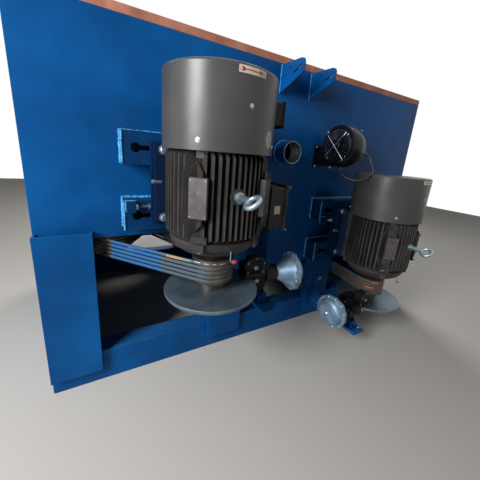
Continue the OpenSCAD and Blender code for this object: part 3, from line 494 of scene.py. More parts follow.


# Every CAD node takes the finish of its slot, except where the real piece has another and where the slide
# rails and mounting plates take darker finishes as painted shade; a name here leaves off the bay's number
slotFinish = {
    "blue_paint": "blueEnamel", "rim_primer": "edgePrimer", "motor_grey": "castEnamel",
    "bare_steel": "turnedSteel", "cast_pulley": "machinedIron", "galvanised": "zincPlate",
    "black_paint": "blackEnamel", "belt_rubber": "machinedIron", "drum_steel": "groundSteel",
    "cable_black": "blackEnamel",
}
nodeFinish = {
    "motor_cowl": "sheetEnamel", "blower_grille": "polishedWire", "wall_duct": "galvanisedSheet",
    "slide_rails": "shadedRailEnamel", "motor_plate": "shadedPlateEnamel", "air_chamber": "bluedZinc",
    "brake_caliper": "caliperEnamel",
}
# Widths in metres by which sharp edges are rounded, as grinding and paint leave them
edgeRounding = {
    "base_rail_rear": 0.006, "base_rail_front": 0.006, "end_rails": 0.006, "rear_legs": 0.0018,
    "front_wall": 0.0015, "back_wall": 0.0015, "top_rim": 0.002, "deck": 0.002, "wall_ears": 0.0012,
    "slide_rails": 0.003, "motor_plate": 0.002, "motor_frame": 0.0012, "terminal_box": 0.005,
    "fan_boxes": 0.004, "brake_bracket": 0.0018, "brake_disc": 0.0015, "brake_caliper": 0.003,
    "gear_case": 0.006, "die_box": 0.003, "blower": 0.0015, "end_wall_left": 0.0015,
    "end_wall_right": 0.0015, "inner_wall": 0.0015, "wall_ribs": 0.0015,
}


def roundEdges(piece, width):
    weld = piece.modifiers.new("weld", "WELD")
    weld.merge_threshold = 0.00002
    bevel = piece.modifiers.new("bevel", "BEVEL")
    bevel.width = width
    bevel.segments = 2
    bevel.limit_method = "ANGLE"
    bevel.angle_limit = math.radians(38)
    bevel.harden_normals = True
    bevel.use_clamp_overlap = True


for row in frame["record"]["subparts"]:
    piece, kind = nodes[row["node"]], row["node"].rstrip("_12")
    piece.data.materials.clear()
    piece.data.materials.append(finishes[nodeFinish.get(kind, slotFinish[row["material_slot"]])])
    if kind in edgeRounding:
        roundEdges(piece, edgeRounding[kind])
print("nodes finished and edges rounded")

# V-belts: five to a bay, with the section of one belt from the pulley side out
beltLook = {
    "count": 5, "pitch": 0.020, "middle": 0.765, "centres": 0.85, "turns": (121.2, 73.0),
    "inner": 0.0838, "ratio": 0.132, "arcSteps": (36, 60), "straightSteps": 24,
    "section": [(0.0, -0.0048), (0.0, 0.0048), (0.0088, 0.0073), (0.0104, 0.0069), (0.011, 0.0055),
                (0.011, -0.0055), (0.0104, -0.0069), (0.0088, -0.0073)],
}


# Points of an arc about (x, 0)
def arcPoints(x, radius, start, sweep, steps):
    turns = [start + k * sweep / steps for k in range(steps + 1)]
    return [Vector((x + radius * math.cos(t), radius * math.sin(t), 0)) for t in turns]


# A belt's inner line: round the motor pulley, out, round the driven pulley and back
def beltPath(look, bay, level):
    large = look["inner"] + look["ratio"]
    lean = math.asin((large - look["inner"]) / look["centres"])
    turn = Matrix.Rotation(math.radians(look["turns"][bay]), 3, "Z")
    shares = [k / look["straightSteps"] for k in range(1, look["straightSteps"])]
    near = arcPoints(0, look["inner"], math.pi / 2 + lean, math.pi - 2 * lean, look["arcSteps"][0])
    far = arcPoints(look["centres"], large, -math.pi / 2 - lean, math.pi + 2 * lean, look["arcSteps"][1])
    outward = [near[-1].lerp(far[0], share) for share in shares]
    inward = [far[-1].lerp(near[0], share) for share in shares]
    return [atMotor(bay, *((turn @ p).xy), level) for p in near + outward + far + inward]


for bay in (0, 1):
    shape = bmesh.new()
    for k in range(beltLook["count"]):
        level = beltLook["middle"] + (k - (beltLook["count"] - 1) / 2) * beltLook["pitch"]
        addSwept(shape, beltPath(beltLook, bay, level), [(-a, b) for a, b in beltLook["section"]], True)
    belts = addPiece("v_belts_%d" % (bay + 1), shape, "wrappedRubber", smooth=True)
    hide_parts("belts_%d" % (bay + 1))
print("belts made")

# The blower's own lead, a loop from the back of its case to the bottom; points in mm from its middle
leadLook = {
    "diameter": 0.010, "sides": 12, "from": middle("blower").x,
    "route": [(66, -272, 1336), (87, -274, 1333.5), (105.5, -280.5, 1320), (116, -290, 1299),
              (119, -302, 1277), (115, -315, 1257), (105, -329, 1240), (90, -341, 1226), (72, -348.5, 1212),
              (53, -349, 1198), (35, -343, 1183.5), (17, -330, 1172.5), (1, -315, 1167), (-14, -297, 1166),
              (-27, -277, 1169.5), (-37, -256, 1177), (-42, -236, 1188), (-43, -216, 1202),
              (-38.5, -200, 1219), (-31, -190.5, 1235.5)],
}


# A round tube along points, its section carried round the bends without twist
def addTube(shape, points, radius, sides):
    rings, out = [], None
    for k, point in enumerate(points):
        along = (points[min(k + 1, len(points) - 1)] - points[max(k - 1, 0)]).normalized()
        out = along.orthogonal().normalized() if out is None else (out - along * out.dot(along)).normalized()
        side = along.cross(out)
        rings.append([shape.verts.new(point + radius * (out * x + side * y)) for x, y in ring(sides, 1.0)])
    addSkin(shape, rings)


# A smooth line through points, with a few steps between each two
def smoothLine(points, steps):
    line = []
    for k in range(len(points) - 1):
        a, b, c, d = (points[min(max(k + j, 0), len(points) - 1)] for j in (-1, 0, 1, 2))
        for i in range(steps):
            t = i / steps
            line.append(0.5 * (2 * b + (c - a) * t + (2 * a - 5 * b + 4 * c - d) * t ** 2
                               + (3 * b - a - 3 * c + d) * t ** 3))
    return line + [points[-1]]


leadLine = smoothLine([Vector((leadLook["from"] + x / 1000, y / 1000, z / 1000))
                       for x, y, z in leadLook["route"]], 4)
shape = bmesh.new()
addTube(shape, leadLine, leadLook["diameter"] / 2, leadLook["sides"])
lead = addPiece("blower_lead", shape, "cableSheath", smooth=True)
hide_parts("blower_cable")
shape = bmesh.new()
for end, nextPoint in ((leadLine[0], leadLine[6]), (leadLine[-1], leadLine[-7])):
    addTurned(shape, [(0, -0.003), (0.011, -0.003), (0.011, 0.003), (0.0095, 0.005), (0.0085, 0.012),
                      (0.0064, 0.022), (0, 0.022)], aim(end, nextPoint - end), 20)
addPiece("lead_reliefs", shape, "cableSheath", smooth=True)

# Weld beads left as laid, under the enamel: spacing and size in metres
railLook = {"left": -0.343, "right": 0.300, "front": 0.250, "wall": 0.350, "levels": (1.2615, 0.9505),
            "half": 0.071, "spacing": 0.0076, "bead": 0.0096}
railRuns, edgeRuns, jackRuns, bracketRuns = [], [], [], []
left, right = railLook["left"], railLook["right"]
for bay in (0, 1):
    for level in railLook["levels"]:
        low, high = level - railLook["half"], level + railLook["half"]
        for run in (((left, low), (left, high)), ((left, high), (right, high)),
                    ((right, high), (right, low)), ((left, low), (right, low))):
            railRuns.append([atMotor(bay, x, railLook["wall"], z) for x, z in run])
        edgeRuns.append([atMotor(bay, left, railLook["front"] + 0.001, z)
                         for z in (low + 0.006, high - 0.006)])
for bay, level in ((0, 0.9975), (1, 1.1915)):
    edge = [(-0.336, 0.0245), (-0.336, -0.0245), (-0.294, -0.0245), (-0.294, 0.0245), (-0.336, 0.0245)]
    jackRuns.append([atMotor(bay, x, 0.250, level + z) for x, z in edge])
stub = middle("pipe_stub")
stubRing = [Vector((stub.x + x, -0.001, stub.z + z)) for x, z in ring(48, 0.0715)]
low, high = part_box("wall_ears")
earRuns = [[Vector((x, -0.001, low.z + 0.003)), Vector((x, -0.001, high.z - 0.003))]
           for x in (low.x, low.x + 0.008, high.x - 0.008, high.x)]
for bay, x in ((0, 0.273), (1, -0.243)):
    for side in (0.0, 0.018):
        bracketRuns.append([Vector((axes[bay].x + x + side, y, 0.505 - drops[bay])) for y in (-0.055, -0.27)])
weldRuns = [
    ("rail_welds", railRuns, railLook["spacing"], railLook["bead"], 3),
    ("rail_end_welds", edgeRuns, 0.0055, 0.0058, 5),
    ("jack_welds", jackRuns, 0.005, 0.0045, 7),
    ("stub_weld", [stubRing + stubRing[:1]], 0.0055, 0.0052, 11),
    ("ear_welds", earRuns, 0.0045, 0.0038, 13),
    ("bracket_welds", bracketRuns, 0.005, 0.0045, 17),
]
# the beads take the paler weld enamel, a painted highlight
for name, runs, spacing, bead, seed in weldRuns:
    grow(name, seedRuns(name, runs), weldTree,
         {"Spacing": spacing, "Bead radius": bead, "Seed": seed, "Finish": finishes["highlitWeldEnamel"]},
         "frame")


# Disc brakes: places and bolts in a caliper's own frame, chamber along +X, disc plane at z = 0
brakeLook = {"at": [(0.243, 0.050), (0.215, -0.025)], "turn": (12, 5), "level": 0.656,
             "chamber": (0.237, 0.202), "pin": [(0.298, 0.014), (0.218, -0.061)], "pinLevel": 0.541,
             "flangeBolts": 12, "flangeRing": 0.0980, "flangeBolt": 0.0076}


# A caliper's frame, the way its chamber points and the way its front faces
def atCaliper(bay):
    side = Matrix.Scale(-1, 4, (1, 0, 0)) if bay else Matrix()
    x, y = brakeLook["at"][bay]
    put = (Matrix.Translation(atMotor(bay, 0, 0, brakeLook["level"])) @ side @ Matrix.Translation((x, y, 0))
           @ Matrix.Rotation(-math.radians(brakeLook["turn"][bay]), 4, "Z"))
    return put, put.to_3x3() @ Vector((1, 0, 0)), put.to_3x3() @ Vector((0, -1, 0))


def around(bay, azimuth, radius, level):
    turn = math.radians(azimuth)
    out = Vector((math.cos(turn), math.sin(turn), 0))
    return atMotor(bay, radius * out.x, radius * out.y, level), out


# Bolts of one kind, with places given from a motor's axis
def boltsOn(bay, places, facing, half):
    return [(atMotor(bay, *place), facing, half) for place in places]


# Grows a group of bolts; head height and washer sizes are in halves of the width over corners
def setBolts(name, bolts, seed, finish, body="frame", sides=6, high=0.66, wide=1.4, thick=0.14):
    grow(name, seedPoints(name, bolts), boltTree, {
        "Sides": sides, "Head height": high, "Washer radius": wide, "Washer thickness": thick,
        "Seed": seed, "Finish": finishes[finish]}, body)


# Every bolt and screw by what it is: (place, way its head faces, half its width over corners)
hexBolts, panScrews, blackBolts, blueBolts, rotorBolts = [], [], [], [], []
for bay in (0, 1):
    # motor feet, cowl, lids of the terminal box and the fan's box, drive-end shield
    hexBolts += boltsOn(bay, [(x, 0.199, 1.106 + z) for x in (-0.178, 0.178) for z in (-0.1555, 0.1555)],
                        (0, -1, 0), 0.0145)
    panScrews += [(*around(bay, azimuth, 0.2200, level), 0.0062) for azimuth, level in (
        (-131.1, 1.303), (-85.3, 1.4227), (-46, 1.303), (41, 1.303), (130, 1.303))]
    for x, ys, zs, half in ((0.308, (-0.114, 0.078), (0.945, 1.141), 0.0045),
                            (0.276, (-0.055, 0.055), (1.3985, 1.4895), 0.0035)):
        panScrews += boltsOn(bay, [(x, y, z) for y in ys for z in zs], (1, 0, 0), half)
    hexBolts += [(around(bay, azimuth, 0.190, 0.902)[0], (0, 0, -1), 0.0095)
                 for azimuth in (-129, -51, 51, 129)]
    # air chamber: both sides of its flange and the nut at its middle
    put, ahead, away = atCaliper(bay)
    reach = brakeLook["chamber"][bay]
    for y, z in ring(brakeLook["flangeBolts"], brakeLook["flangeRing"], 0.35):
        hexBolts += [(put @ Vector((reach - 0.008, y, z)), -ahead, brakeLook["flangeBolt"]),
                     (put @ Vector((reach + 0.010, y, z)), ahead, brakeLook["flangeBolt"])]
    hexBolts.append((put @ Vector((reach + 0.050, 0, 0)), ahead, 0.0125))
    # clevis pin and its foot, caliper, disc hub
    px, py = brakeLook["pin"][bay]
    px *= -1 if bay else 1
    for side in (-1, 1):
        blueBolts += boltsOn(bay, [(px, py + side * 0.025, brakeLook["pinLevel"])], (0, side, 0), 0.0125)
    blueBolts += boltsOn(bay, [(px + x, py + y, 0.515) for x in (-0.029, 0.029) for y in (-0.0305, 0.0305)],
                         (0, 0, 1), 0.0068)
    blackBolts.append((put @ Vector((0.002, -0.0945, 0.004)), away, 0.0095))
    blackBolts += [(put @ Vector((0.090, y, z)), ahead, 0.0048) for y, z in ring(5, 0.049, 0.5)]
    rotorBolts.append(boltsOn(bay, [(x, y, 0.648) for x, y in ring(6, 0.046)], (0, 0, -1), 0.0085))
# blower's bracket and guard, its case, the middle leg and the base rail
hexBolts += [((x, -0.010, z), (0, -1, 0), 0.0062)
             for x, z in ((0.228, 1.358), (0.228, 1.23), (0.378, 1.23), (0.378, 1.358))]
hexBolts += [((0.2365, y, z), (-1, 0, 0), 0.0058)
             for y, z in ((-0.0857, 1.4523), (-0.245, 1.4339), (-0.2304, 1.2828), (-0.107, 1.29))]
panScrews += [((x, y, 1.4665), Vector((0, y + 0.175, 0.1005)).normalized(), 0.0045)
              for x, y in ((0.2595, -0.2540), (0.2595, -0.0960), (0.345, -0.2540))]
hexBolts += [((0.4286, -0.046, 0.3437), (0, -1, 0), 0.0115), ((0.4245, -0.4522, 0.17), (0, 0, 1), 0.0085)]
setBolts("hex_bolts", hexBolts, 20, "zincPlate", wide=1.45)
setBolts("pan_screws", panScrews, 21, "zincPlate", sides=16, high=0.5, wide=1.35)
setBolts("caliper_bolts", blackBolts, 22, "turnedSteel", wide=1.3)
setBolts("clevis_bolts", blueBolts, 23, "blueEnamel", wide=1.25)
for bay in (0, 1):
    setBolts("disc_bolts_%d" % (bay + 1), rotorBolts[bay], 24 + bay, "turnedSteel",
             "rotor_%d" % (bay + 1), wide=1.2)


# Turns a flat shape (x along the curve, y up, z out) round a motor's axis at a radius, in 4 mm steps
def wrapRound(shape, bay, azimuth, level, radius):
    step = 0.004
    low, high = min(v.co.x for v in shape.verts), max(v.co.x for v in shape.verts)
    for k in range(1, int((high - low) / step)):
        bmesh.ops.bisect_plane(shape, geom=shape.verts[:] + shape.edges[:] + shape.faces[:],
                               plane_co=(low + k * step, 0, 0), plane_no=(1, 0, 0))
    for v in shape.verts:
        turn = math.radians(azimuth) + v.co.x / radius
        out = radius + v.co.z
        v.co = atMotor(bay, out * math.cos(turn), out * math.sin(turn), level + v.co.y)


def roundedRectangle(width, height, radius, steps=4):
    corners = []
    for k, (sx, sy) in enumerate(((1, 1), (-1, 1), (-1, -1), (1, -1))):
        for i in range(steps + 1):
            t = math.radians(90 * k + 90 * i / steps)
            corners.append((sx * (width / 2 - radius) + radius * math.cos(t),
                            sy * (height / 2 - radius) + radius * math.sin(t)))
    return corners


# Rotation arrow plate on the cowl: a cream plate riveted at both ends, with a plain red arrow
arrowLook = {"azimuth": -85.6, "level": 1.5245, "radius": 0.2201, "size": (0.106, 0.0215), "thick": 0.0009,
             "arrow": [(-0.040, -0.0016), (0.022, -0.0016), (0.022, -0.0058), (0.041, 0.0), (0.022, 0.0058),
                       (0.022, 0.0016), (-0.040, 0.0016)],
             "flights": [[(-0.040, 0.0), (-0.030, 0.0), (-0.036, 0.0062), (-0.046, 0.0062)],
                         [(-0.040, 0.0), (-0.030, 0.0), (-0.036, -0.0062), (-0.046, -0.0062)]]}
rivets = []
for bay in (0, 1):
    shape = bmesh.new()
    addPrism(shape, roundedRectangle(*arrowLook["size"], 0.002), -0.0004, arrowLook["thick"], Matrix())
    wrapRound(shape, bay, arrowLook["azimuth"], arrowLook["level"], arrowLook["radius"])
    addPiece("arrow_plate_%d" % (bay + 1), shape, "creamPlate")
    shape = bmesh.new()
    for outline in [arrowLook["arrow"]] + arrowLook["flights"]:
        addPrism(shape, outline, arrowLook["thick"] - 0.0002, arrowLook["thick"] + 0.0003, Matrix())
    wrapRound(shape, bay, arrowLook["azimuth"], arrowLook["level"], arrowLook["radius"])
    addPiece("arrow_%d" % (bay + 1), shape, "redPrint")
    for side in (-1, 1):
        azimuth = arrowLook["azimuth"] + side * math.degrees(0.0485 / arrowLook["radius"])
        rivets.append((*around(bay, azimuth, arrowLook["radius"] + 0.0008, arrowLook["level"]), 0.0019))

# Bare nameplates on the cast pads, riveted at the corners
nameLook = {"azimuths": (-129, -51), "reach": 0.2260, "size": (0.064, 0.141), "level": 1.108, "thick": 0.0012,
            "pad": (0.069, 0.147), "padFrom": 0.2130}
shape, pads = bmesh.new(), bmesh.new()
for bay in (0, 1):
    for azimuth in nameLook["azimuths"]:
        place, out = around(bay, azimuth, nameLook["reach"], nameLook["level"])
        side = Vector((-out.y, out.x, 0))
        put = Matrix((side, Vector((0, 0, 1)), out)).transposed().to_4x4()
        put.translation = place
        addPrism(shape, roundedRectangle(*nameLook["size"], 0.003), -0.0005, nameLook["thick"], put)
        addPrism(pads, roundedRectangle(*nameLook["pad"], 0.004), nameLook["padFrom"] - nameLook["reach"],
                 -0.0015, put)
        addPrism(pads, roundedRectangle(nameLook["pad"][0] - 0.003, nameLook["pad"][1] - 0.003, 0.003),
                 -0.002, 0, put)
        for x, y in ((-0.027, -0.064), (0.027, -0.064), (-0.027, 0.064), (0.027, 0.064), (0.001, 0.02)):
            rivets.append((put @ Vector((x, y, nameLook["thick"])), out, 0.0017))
addPiece("bare_nameplates", shape, "etchedPlate")
addPiece("nameplate_pads", pads, "castEnamel")

# Terminal box: small pale label, and blanked cable glands below
boxLook = {"label": (0.0315, 0.0375), "place": (0.2601, -0.0984, 1.0365), "glands": (0.238, 0.272),
           "low": 0.948, "gland": 0.0135}
shape, labels = bmesh.new(), bmesh.new()
for bay in (0, 1):
    put = aim(atMotor(bay, *boxLook["place"]), (0, -1, 0))
    addPrism(labels, roundedRectangle(*boxLook["label"], 0.001), 0.0002, 0.0008, put)
    size = boxLook["gland"]
    for x in boxLook["glands"]:
        put = aim(atMotor(bay, x, -0.012 + (x - 0.255) * 0.5, boxLook["low"]), (0, 0, -1))
        addTurned(shape, [(0, -0.002), (size, -0.002), (size, 0.006), (size * 0.86, 0.0075),
                          (size * 0.8, 0.016), (size * 0.55, 0.019), (0, 0.019)], put, 12)
addPiece("box_labels", labels, "creamPlate")
addPiece("blanked_glands", shape, "blackEnamel")

# Grease tube and its red cap on the drive-end shield, and the round spacer bar beside the motor
greaseLook = {"azimuth": -91, "reach": 0.1815, "top": 0.910, "radius": 0.0026}
tubes, caps, bars = bmesh.new(), bmesh.new(), bmesh.new()
for bay in (0, 1):
    line = [around(bay, greaseLook["azimuth"], greaseLook["reach"], greaseLook["top"] - k * 0.009)[0]
            for k in range(6)]
    line += [around(bay, greaseLook["azimuth"] + a, greaseLook["reach"] + r, z)[0]
             for a, r, z in ((0.6, 0.0004, 0.8575), (2.0, 0.0008, 0.8552), (3.6, 0.001, 0.855))]
    addTube(tubes, line, greaseLook["radius"], 10)
    along = line[-1] - line[-2]
    addTurned(caps, [(0, -0.002), (0.0066, -0.002), (0.0078, 0.001), (0.0078, 0.010), (0.0064, 0.0145),
                     (0.0034, 0.017), (0, 0.0176)], aim(line[-1], along), 18)
    addTurned(bars, [(0, 0), (0.0095, 0), (0.0105, 0.001), (0.0105, 0.043), (0.0095, 0.044), (0, 0.044)],
              aim(atMotor(bay, -0.229, 0.207, 1.118), (1, 0, 0)), 20)
addPiece("grease_tubes", tubes, "zincPlate", smooth=True)
addPiece("grease_caps", caps, "redPlastic", smooth=True)
addPiece("spacer_bars", bars, "zincPlate")

# Belt tension screws from the welded blocks to the mounting plates, with a lock nut at each end
jackLook = {"screws": [(0, -0.297, -0.2285, 0.9975), (1, -0.297, -0.2285, 1.1915)], "radius": 0.0078,
            "out": 0.236}
shape = bmesh.new()
for bay, start, end, level in jackLook["screws"]:
    turns = []
    for k in range(int((end - start) / 0.002)):
        turns += [(jackLook["radius"], 0.002 * k), (jackLook["radius"] - 0.0011, 0.002 * k + 0.001)]
    addTurned(shape, [(0, 0)] + turns + [(0, turns[-1][1])],
              aim(atMotor(bay, start, jackLook["out"], level), (1, 0, 0)), 14)
addPiece("tension_screws", shape, "turnedSteel")
lockNuts = [(atMotor(bay, ends[end] + shift, jackLook["out"], level), (1, 0, 0), half)
            for end, shift, half in ((0, 0.002, 0.0145), (1, -0.011, 0.0135))
            for bay, *ends, level in jackLook["screws"]]

# Printed bands and pale lines on the belts' outer faces: (bay, part, from, to, level, low, high,
# finish), in metres from the motor pulley on the strand and in shares of the turn on the arc
bandLook = {"out": (0.0106, 0.0114), "bands": [
    (0, "strand", 0.094, 0.185, 0.805, -0.0050, 0.0052, "tanPrint"),
    (0, "strand", 0.059, 0.092, 0.805, -0.0050, 0.0052, "greenPrint"),
    (0, "strand", 0.012, 0.040, 0.805, 0.0018, 0.0052, "paleMark"),
    (0, "arc", 0.02, 0.10, 0.805, 0.0022, 0.0052, "paleMark"),
    (0, "arc", 0.16, 0.22, 0.805, 0.0026, 0.0052, "paleMark"),
    (0, "arc", 0.28, 0.39, 0.805, 0.0022, 0.0052, "paleMark"),
    (1, "arc", 0.30, 0.52, 0.805, -0.0050, 0.0052, "orangePrint"),
    (1, "arc", 0.16, 0.38, 0.765, -0.0050, 0.0052, "orangePrint")]}
for k, (bay, part, start, end, level, low, high, finish) in enumerate(bandLook["bands"]):
    path = beltPath(beltLook, bay, level)
    first = beltLook["arcSteps"][0]
    if part == "strand":
        root, tip = path[0], path[first + beltLook["straightSteps"] + beltLook["arcSteps"][1]]
        along = (tip - root).normalized()
        points = [root + along * (end + (start - end) * i / 8) for i in range(9)]
    else:
        points = path[round(start * first):round(end * first) + 1]
    shape = bmesh.new()
    near, far = bandLook["out"]
    addSwept(shape, points, [(-near, low), (-near, high), (-far, high), (-far, low)], False)
    addPiece("belt_band_%d" % (k + 1), shape, finish)
print("plates, screws and bands made")

# Caliper trim: the round piston housing on the upper arm, its bolted cover, the cast bar below its bolt
coverLook = {
    "housing": [(0, 0.066), (0.040, 0.066), (0.053, 0.052), (0.053, 0.016), (0.0555, 0.013), (0.0555, 0.002),
                (0.052, -0.0015), (0.043, -0.0025), (0.039, 0.0005), (0.017, 0.0005), (0.015, -0.002),
                (0, -0.002)],
    "place": (-0.008, -0.0955, 0.076), "screws": 6, "screwRing": 0.0475,
    "bar": (0.084, 0.034, 0.020), "barPlace": (-0.024, -0.099, 0.042), "barRound": 0.005,
}
# Pressed step on each air chamber's pot, round its centre nut
potLook = {"profile": [(0, -0.004), (0.064, -0.004), (0.064, 0.0015), (0.0615, 0.0048), (0.057, 0.0062),
                       (0, 0.0062)], "ahead": 0.0435}
coverScrews, pots = [], bmesh.new()
for bay in (0, 1):
    put, ahead, away = atCaliper(bay)
    front = put @ aim(coverLook["place"], (0, 1, 0))
    shape = bmesh.new()
    addTurned(shape, coverLook["housing"], front, 48)
    addPiece("caliper_housing_%d" % (bay + 1), shape, "blackEnamel")
    shape = bmesh.new()
    bar = put @ Matrix.Translation(coverLook["barPlace"]) @ Matrix.Diagonal((*coverLook["bar"], 1))
    bmesh.ops.create_cube(shape, size=1.0, matrix=bar)
    bmesh.ops.bevel(shape, geom=shape.edges[:], offset=coverLook["barRound"], segments=3, profile=0.5,
                    affect="EDGES")
    addPiece("caliper_bar_%d" % (bay + 1), shape, "blackEnamel")
    coverScrews.append((front @ Vector((0, 0, -0.0015)), away, 0.0105))
    coverScrews += [(front @ Vector((x, y, -0.0015)), away, 0.0042)
                    for x, y in ring(coverLook["screws"], coverLook["screwRing"], 0.5)]
    addTurned(pots, potLook["profile"],
              aim(put @ Vector((brakeLook["chamber"][bay] + potLook["ahead"], 0, 0)), ahead), 64)
addPiece("chamber_pots", pots, "bluedZinc")
setBolts("cover_screws", coverScrews, 49, "turnedSteel", high=0.6, wide=1.2, thick=0.12)


# Fan vanes: tilted blades on the seed's points, each turned to face its own way out
def makeVaneTree():
    tree, given = startTree("fanVanes", {"Float": ["Length", "Depth", "Thickness", "Tilt"]})
    size = addNode(tree, "ShaderNodeCombineXYZ", {
        "X": given["Thickness"], "Y": given["Depth"], "Z": given["Length"]})
    blade = addNode(tree, "GeometryNodeMeshCube", {"Size": size.outputs[0]})
    placed = setFacing(tree, given["Geometry"], blade.outputs[0], given["Tilt"])
    endTree(tree, placed, given["Finish"], False)
    return tree


fanLook = {"count": 28, "middle": 0.064, "length": 0.052, "depth": 0.005, "thick": 0.0014, "tilt": 0.7,
           "out": 0.0035}
hubPlace = Vector((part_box("blower")[0].x, -0.175, 1.366))
vanes = [(hubPlace + Vector((fanLook["out"], fanLook["middle"] * y, fanLook["middle"] * z)), (0, y, z), 1.0)
         for y, z in ring(fanLook["count"], 1.0)]
grow("fan_vanes", seedPoints("fan_vanes", vanes), makeVaneTree(), {
    "Length": fanLook["length"], "Depth": fanLook["depth"], "Thickness": fanLook["thick"],
    "Tilt": fanLook["tilt"], "Finish": finishes["blackEnamel"]}, "frame")
shape = bmesh.new()
addTurned(shape, [(0, -0.008), (0.034, -0.008), (0.034, -0.002), (0.028, 0.001), (0, 0.0015)],
          aim(hubPlace, (-1, 0, 0)), 32)
addPiece("fan_hub", shape, "blackEnamel")

# The guard's crossed stays, rods over the ring wires from screw to screw
shape = bmesh.new()
for side in (-1, 1):
    ends = [hubPlace + Vector((-0.0068, t * 0.0795, side * t * 0.0795)) for t in (-1, 1)]
    addTube(shape, [ends[0].lerp(ends[1], k / 6) for k in range(7)], 0.0021, 10)
addPiece("guard_stays", shape, "polishedWire", smooth=True)

# Galvanised liner inside the pipe stub, rolled over at the mouth
mouth = Vector((stub.x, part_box("pipe_stub")[0].y, stub.z))
shape = bmesh.new()
addTurned(shape, [(0.0659, -0.0945), (0.0648, -0.0945), (0.0640, -0.001), (0.0640, 0.0), (0.0655, 0.0008),
                  (0.0663, 0.0), (0.0659, -0.004), (0.0659, -0.0945)], aim(mouth, (0, -1, 0)), 64)
addPiece("stub_liner", shape, "galvanisedSheet", smooth=True)

# Drawing side: lid bolts and breathers on the gear cases, bolt rings on the drums, die box handles
caseBolts, drumBolts = [], []
handles, breathers, glasses = bmesh.new(), bmesh.new(), bmesh.new()
caseLook = {"top": 0.150, "ring": 0.155, "bolts": 9, "bolt": 0.0085, "footBolt": 0.011}
for bay in (0, 1):
    low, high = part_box("gear_case_%d" % (bay + 1))
    big, drum = middle("big_pulley_%d" % (bay + 1)), middle("drum_%d" % (bay + 1))
    top = low.z + caseLook["top"]
    reach = Vector((drum.x - big.x, drum.y - big.y, 0)).normalized()
    side = Vector((-reach.y, reach.x, 0))
    start = Vector((big.x, big.y, top))
    for k in range(caseLook["bolts"]):
        turn = math.pi * (0.5 + k / (caseLook["bolts"] - 1))
        out = reach * math.cos(turn) + side * math.sin(turn)
        caseBolts.append((start + out * caseLook["ring"], (0, 0, 1), caseLook["bolt"]))
    for k in (-1, 1):
        caseBolts.append((start + reach * 0.09 + side * k * caseLook["ring"], (0, 0, 1), caseLook["bolt"]))
        for along in (-0.03, 0.16, 0.35):
            caseBolts.append((start + reach * along + side * k * 0.186
                              - Vector((0, 0, caseLook["top"] - 0.022)), (0, 0, 1), caseLook["footBolt"]))
    put = aim(start - reach * 0.07 + side * 0.06, (0, 0, 1))
    addTurned(breathers, [(0, -0.002), (0.010, -0.002), (0.010, 0.014), (0.019, 0.017), (0.020, 0.030),
                          (0.016, 0.036), (0, 0.038)], put, 24)
    put = aim(start - reach * 0.1695 - Vector((0, 0, 0.085)), -reach)
    addTurned(glasses, [(0, -0.004), (0.021, -0.004), (0.021, 0.006), (0.017, 0.009), (0.013, 0.009),
                        (0.013, 0.005), (0, 0.005)], put, 28)
    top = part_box("drum_%d" % (bay + 1))[1].z
    for count, radius, offset, drop, half in ((8, 0.145, 0.5, 0.0, 0.011), (6, 0.045, 0.0, 0.040, 0.0085)):
        drumBolts += [((drum.x + x, drum.y + y, top - drop), (0, 0, 1), half)
                      for x, y in ring(count, radius, offset)]
    low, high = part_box("die_box_%d" % (bay + 1))
    line = [Vector((low.x + 0.06 + 0.07 * t, (low.y + high.y) / 2, high.z + h)) for t, h in
            ((0, -0.002), (0, 0.014), (0.05, 0.026), (0.2, 0.031), (0.8, 0.031), (0.95, 0.026), (1, 0.014),
             (1, -0.002))]
    addTube(handles, smoothLine(line, 3), 0.005, 12)
setBolts("case_bolts", caseBolts, 41, "zincPlate")
setBolts("drum_bolts", drumBolts, 43, "turnedSteel", wide=1.35)
addPiece("case_breathers", breathers, "zincPlate", smooth=True)
addPiece("oil_glasses", glasses, "zincPlate")
addPiece("die_box_handles", handles, "turnedSteel", smooth=True)
setBolts("plate_rivets", rivets, 45, "zincPlate", sides=12, high=0.5, wide=1.25, thick=0.2)
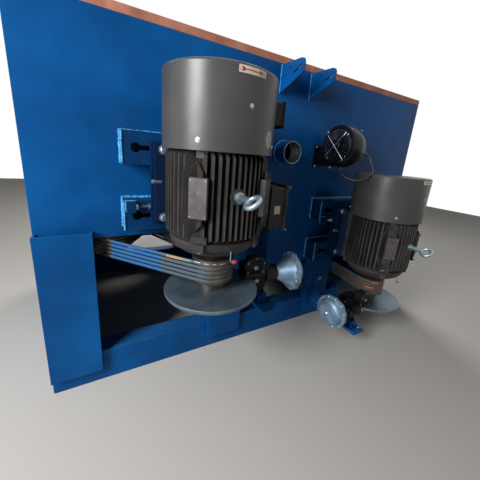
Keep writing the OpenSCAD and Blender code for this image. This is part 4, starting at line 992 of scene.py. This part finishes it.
setBolts("lock_nuts", lockNuts, 47, "zincPlate", high=0.62, wide=1.2, thick=0.1)
print("drawing side trimmed")

# Plain soft studio light: a large lamp high on the left, a dim one for the drawing side
lampLook = {
    "key": {"from": (-3.55, -1.5, 2.35), "to": (-0.1, -0.1, 1.0), "size": (1.2, 1.9), "power": 190},
    "far": {"from": (2.2, 4.2, 3.2), "to": (0.0, 0.9, 0.8), "size": (2.0, 2.0), "power": 150},
}
for name, look in lampLook.items():
    lamp = bpy.data.lights.new(name, "AREA")
    lamp.shape = "RECTANGLE"
    lamp.size, lamp.size_y = look["size"]
    lamp.energy = look["power"]
    holder = bpy.data.objects.new(name, lamp)
    scene.collection.objects.link(holder)
    holder.matrix_world = aim(look["from"], Vector(look["from"]) - Vector(look["to"]))

worldLook = {"white": (1, 1, 1, 1), "fill": 0.09}
world = bpy.data.worlds.new("studio")
scene.world = world
world.use_nodes = True
tree = world.node_tree
rays = addNode(tree, "ShaderNodeLightPath").outputs
seen = rays["Is Camera Ray"]
for ray in ("Is Glossy Ray", "Is Transmission Ray"):
    seen = addNode(tree, "ShaderNodeMath", {0: seen, 1: rays[ray]}, operation="MAXIMUM").outputs["Value"]
level = addNode(tree, "ShaderNodeMapRange", {
    "Value": seen, "To Min": worldLook["fill"], "To Max": 1.0}).outputs["Result"]
tree.nodes["Background"].inputs["Color"].default_value = worldLook["white"]
tree.links.new(level, tree.nodes["Background"].inputs["Strength"])

floorLook = {"reach": 9.0, "colour": "#c9c5be", "rough": 0.8, "gloss": 0.2, "metal": 0.0}
shape = bmesh.new()
bmesh.ops.create_grid(shape, x_segments=1, y_segments=1, size=floorLook["reach"])
mesh = bpy.data.meshes.new("studio_floor")
shape.to_mesh(mesh)
shape.free()
material, _, shader, _ = newMaterial("studioFloor", floorLook)
shader.inputs["Base Color"].default_value = toLinear(floorLook["colour"])
mesh.materials.append(material)
floor = bpy.data.objects.new("studio_floor", mesh)
scene.collection.objects.link(floor)
scene.view_settings.view_transform = "Standard"
print("lights and floor set")
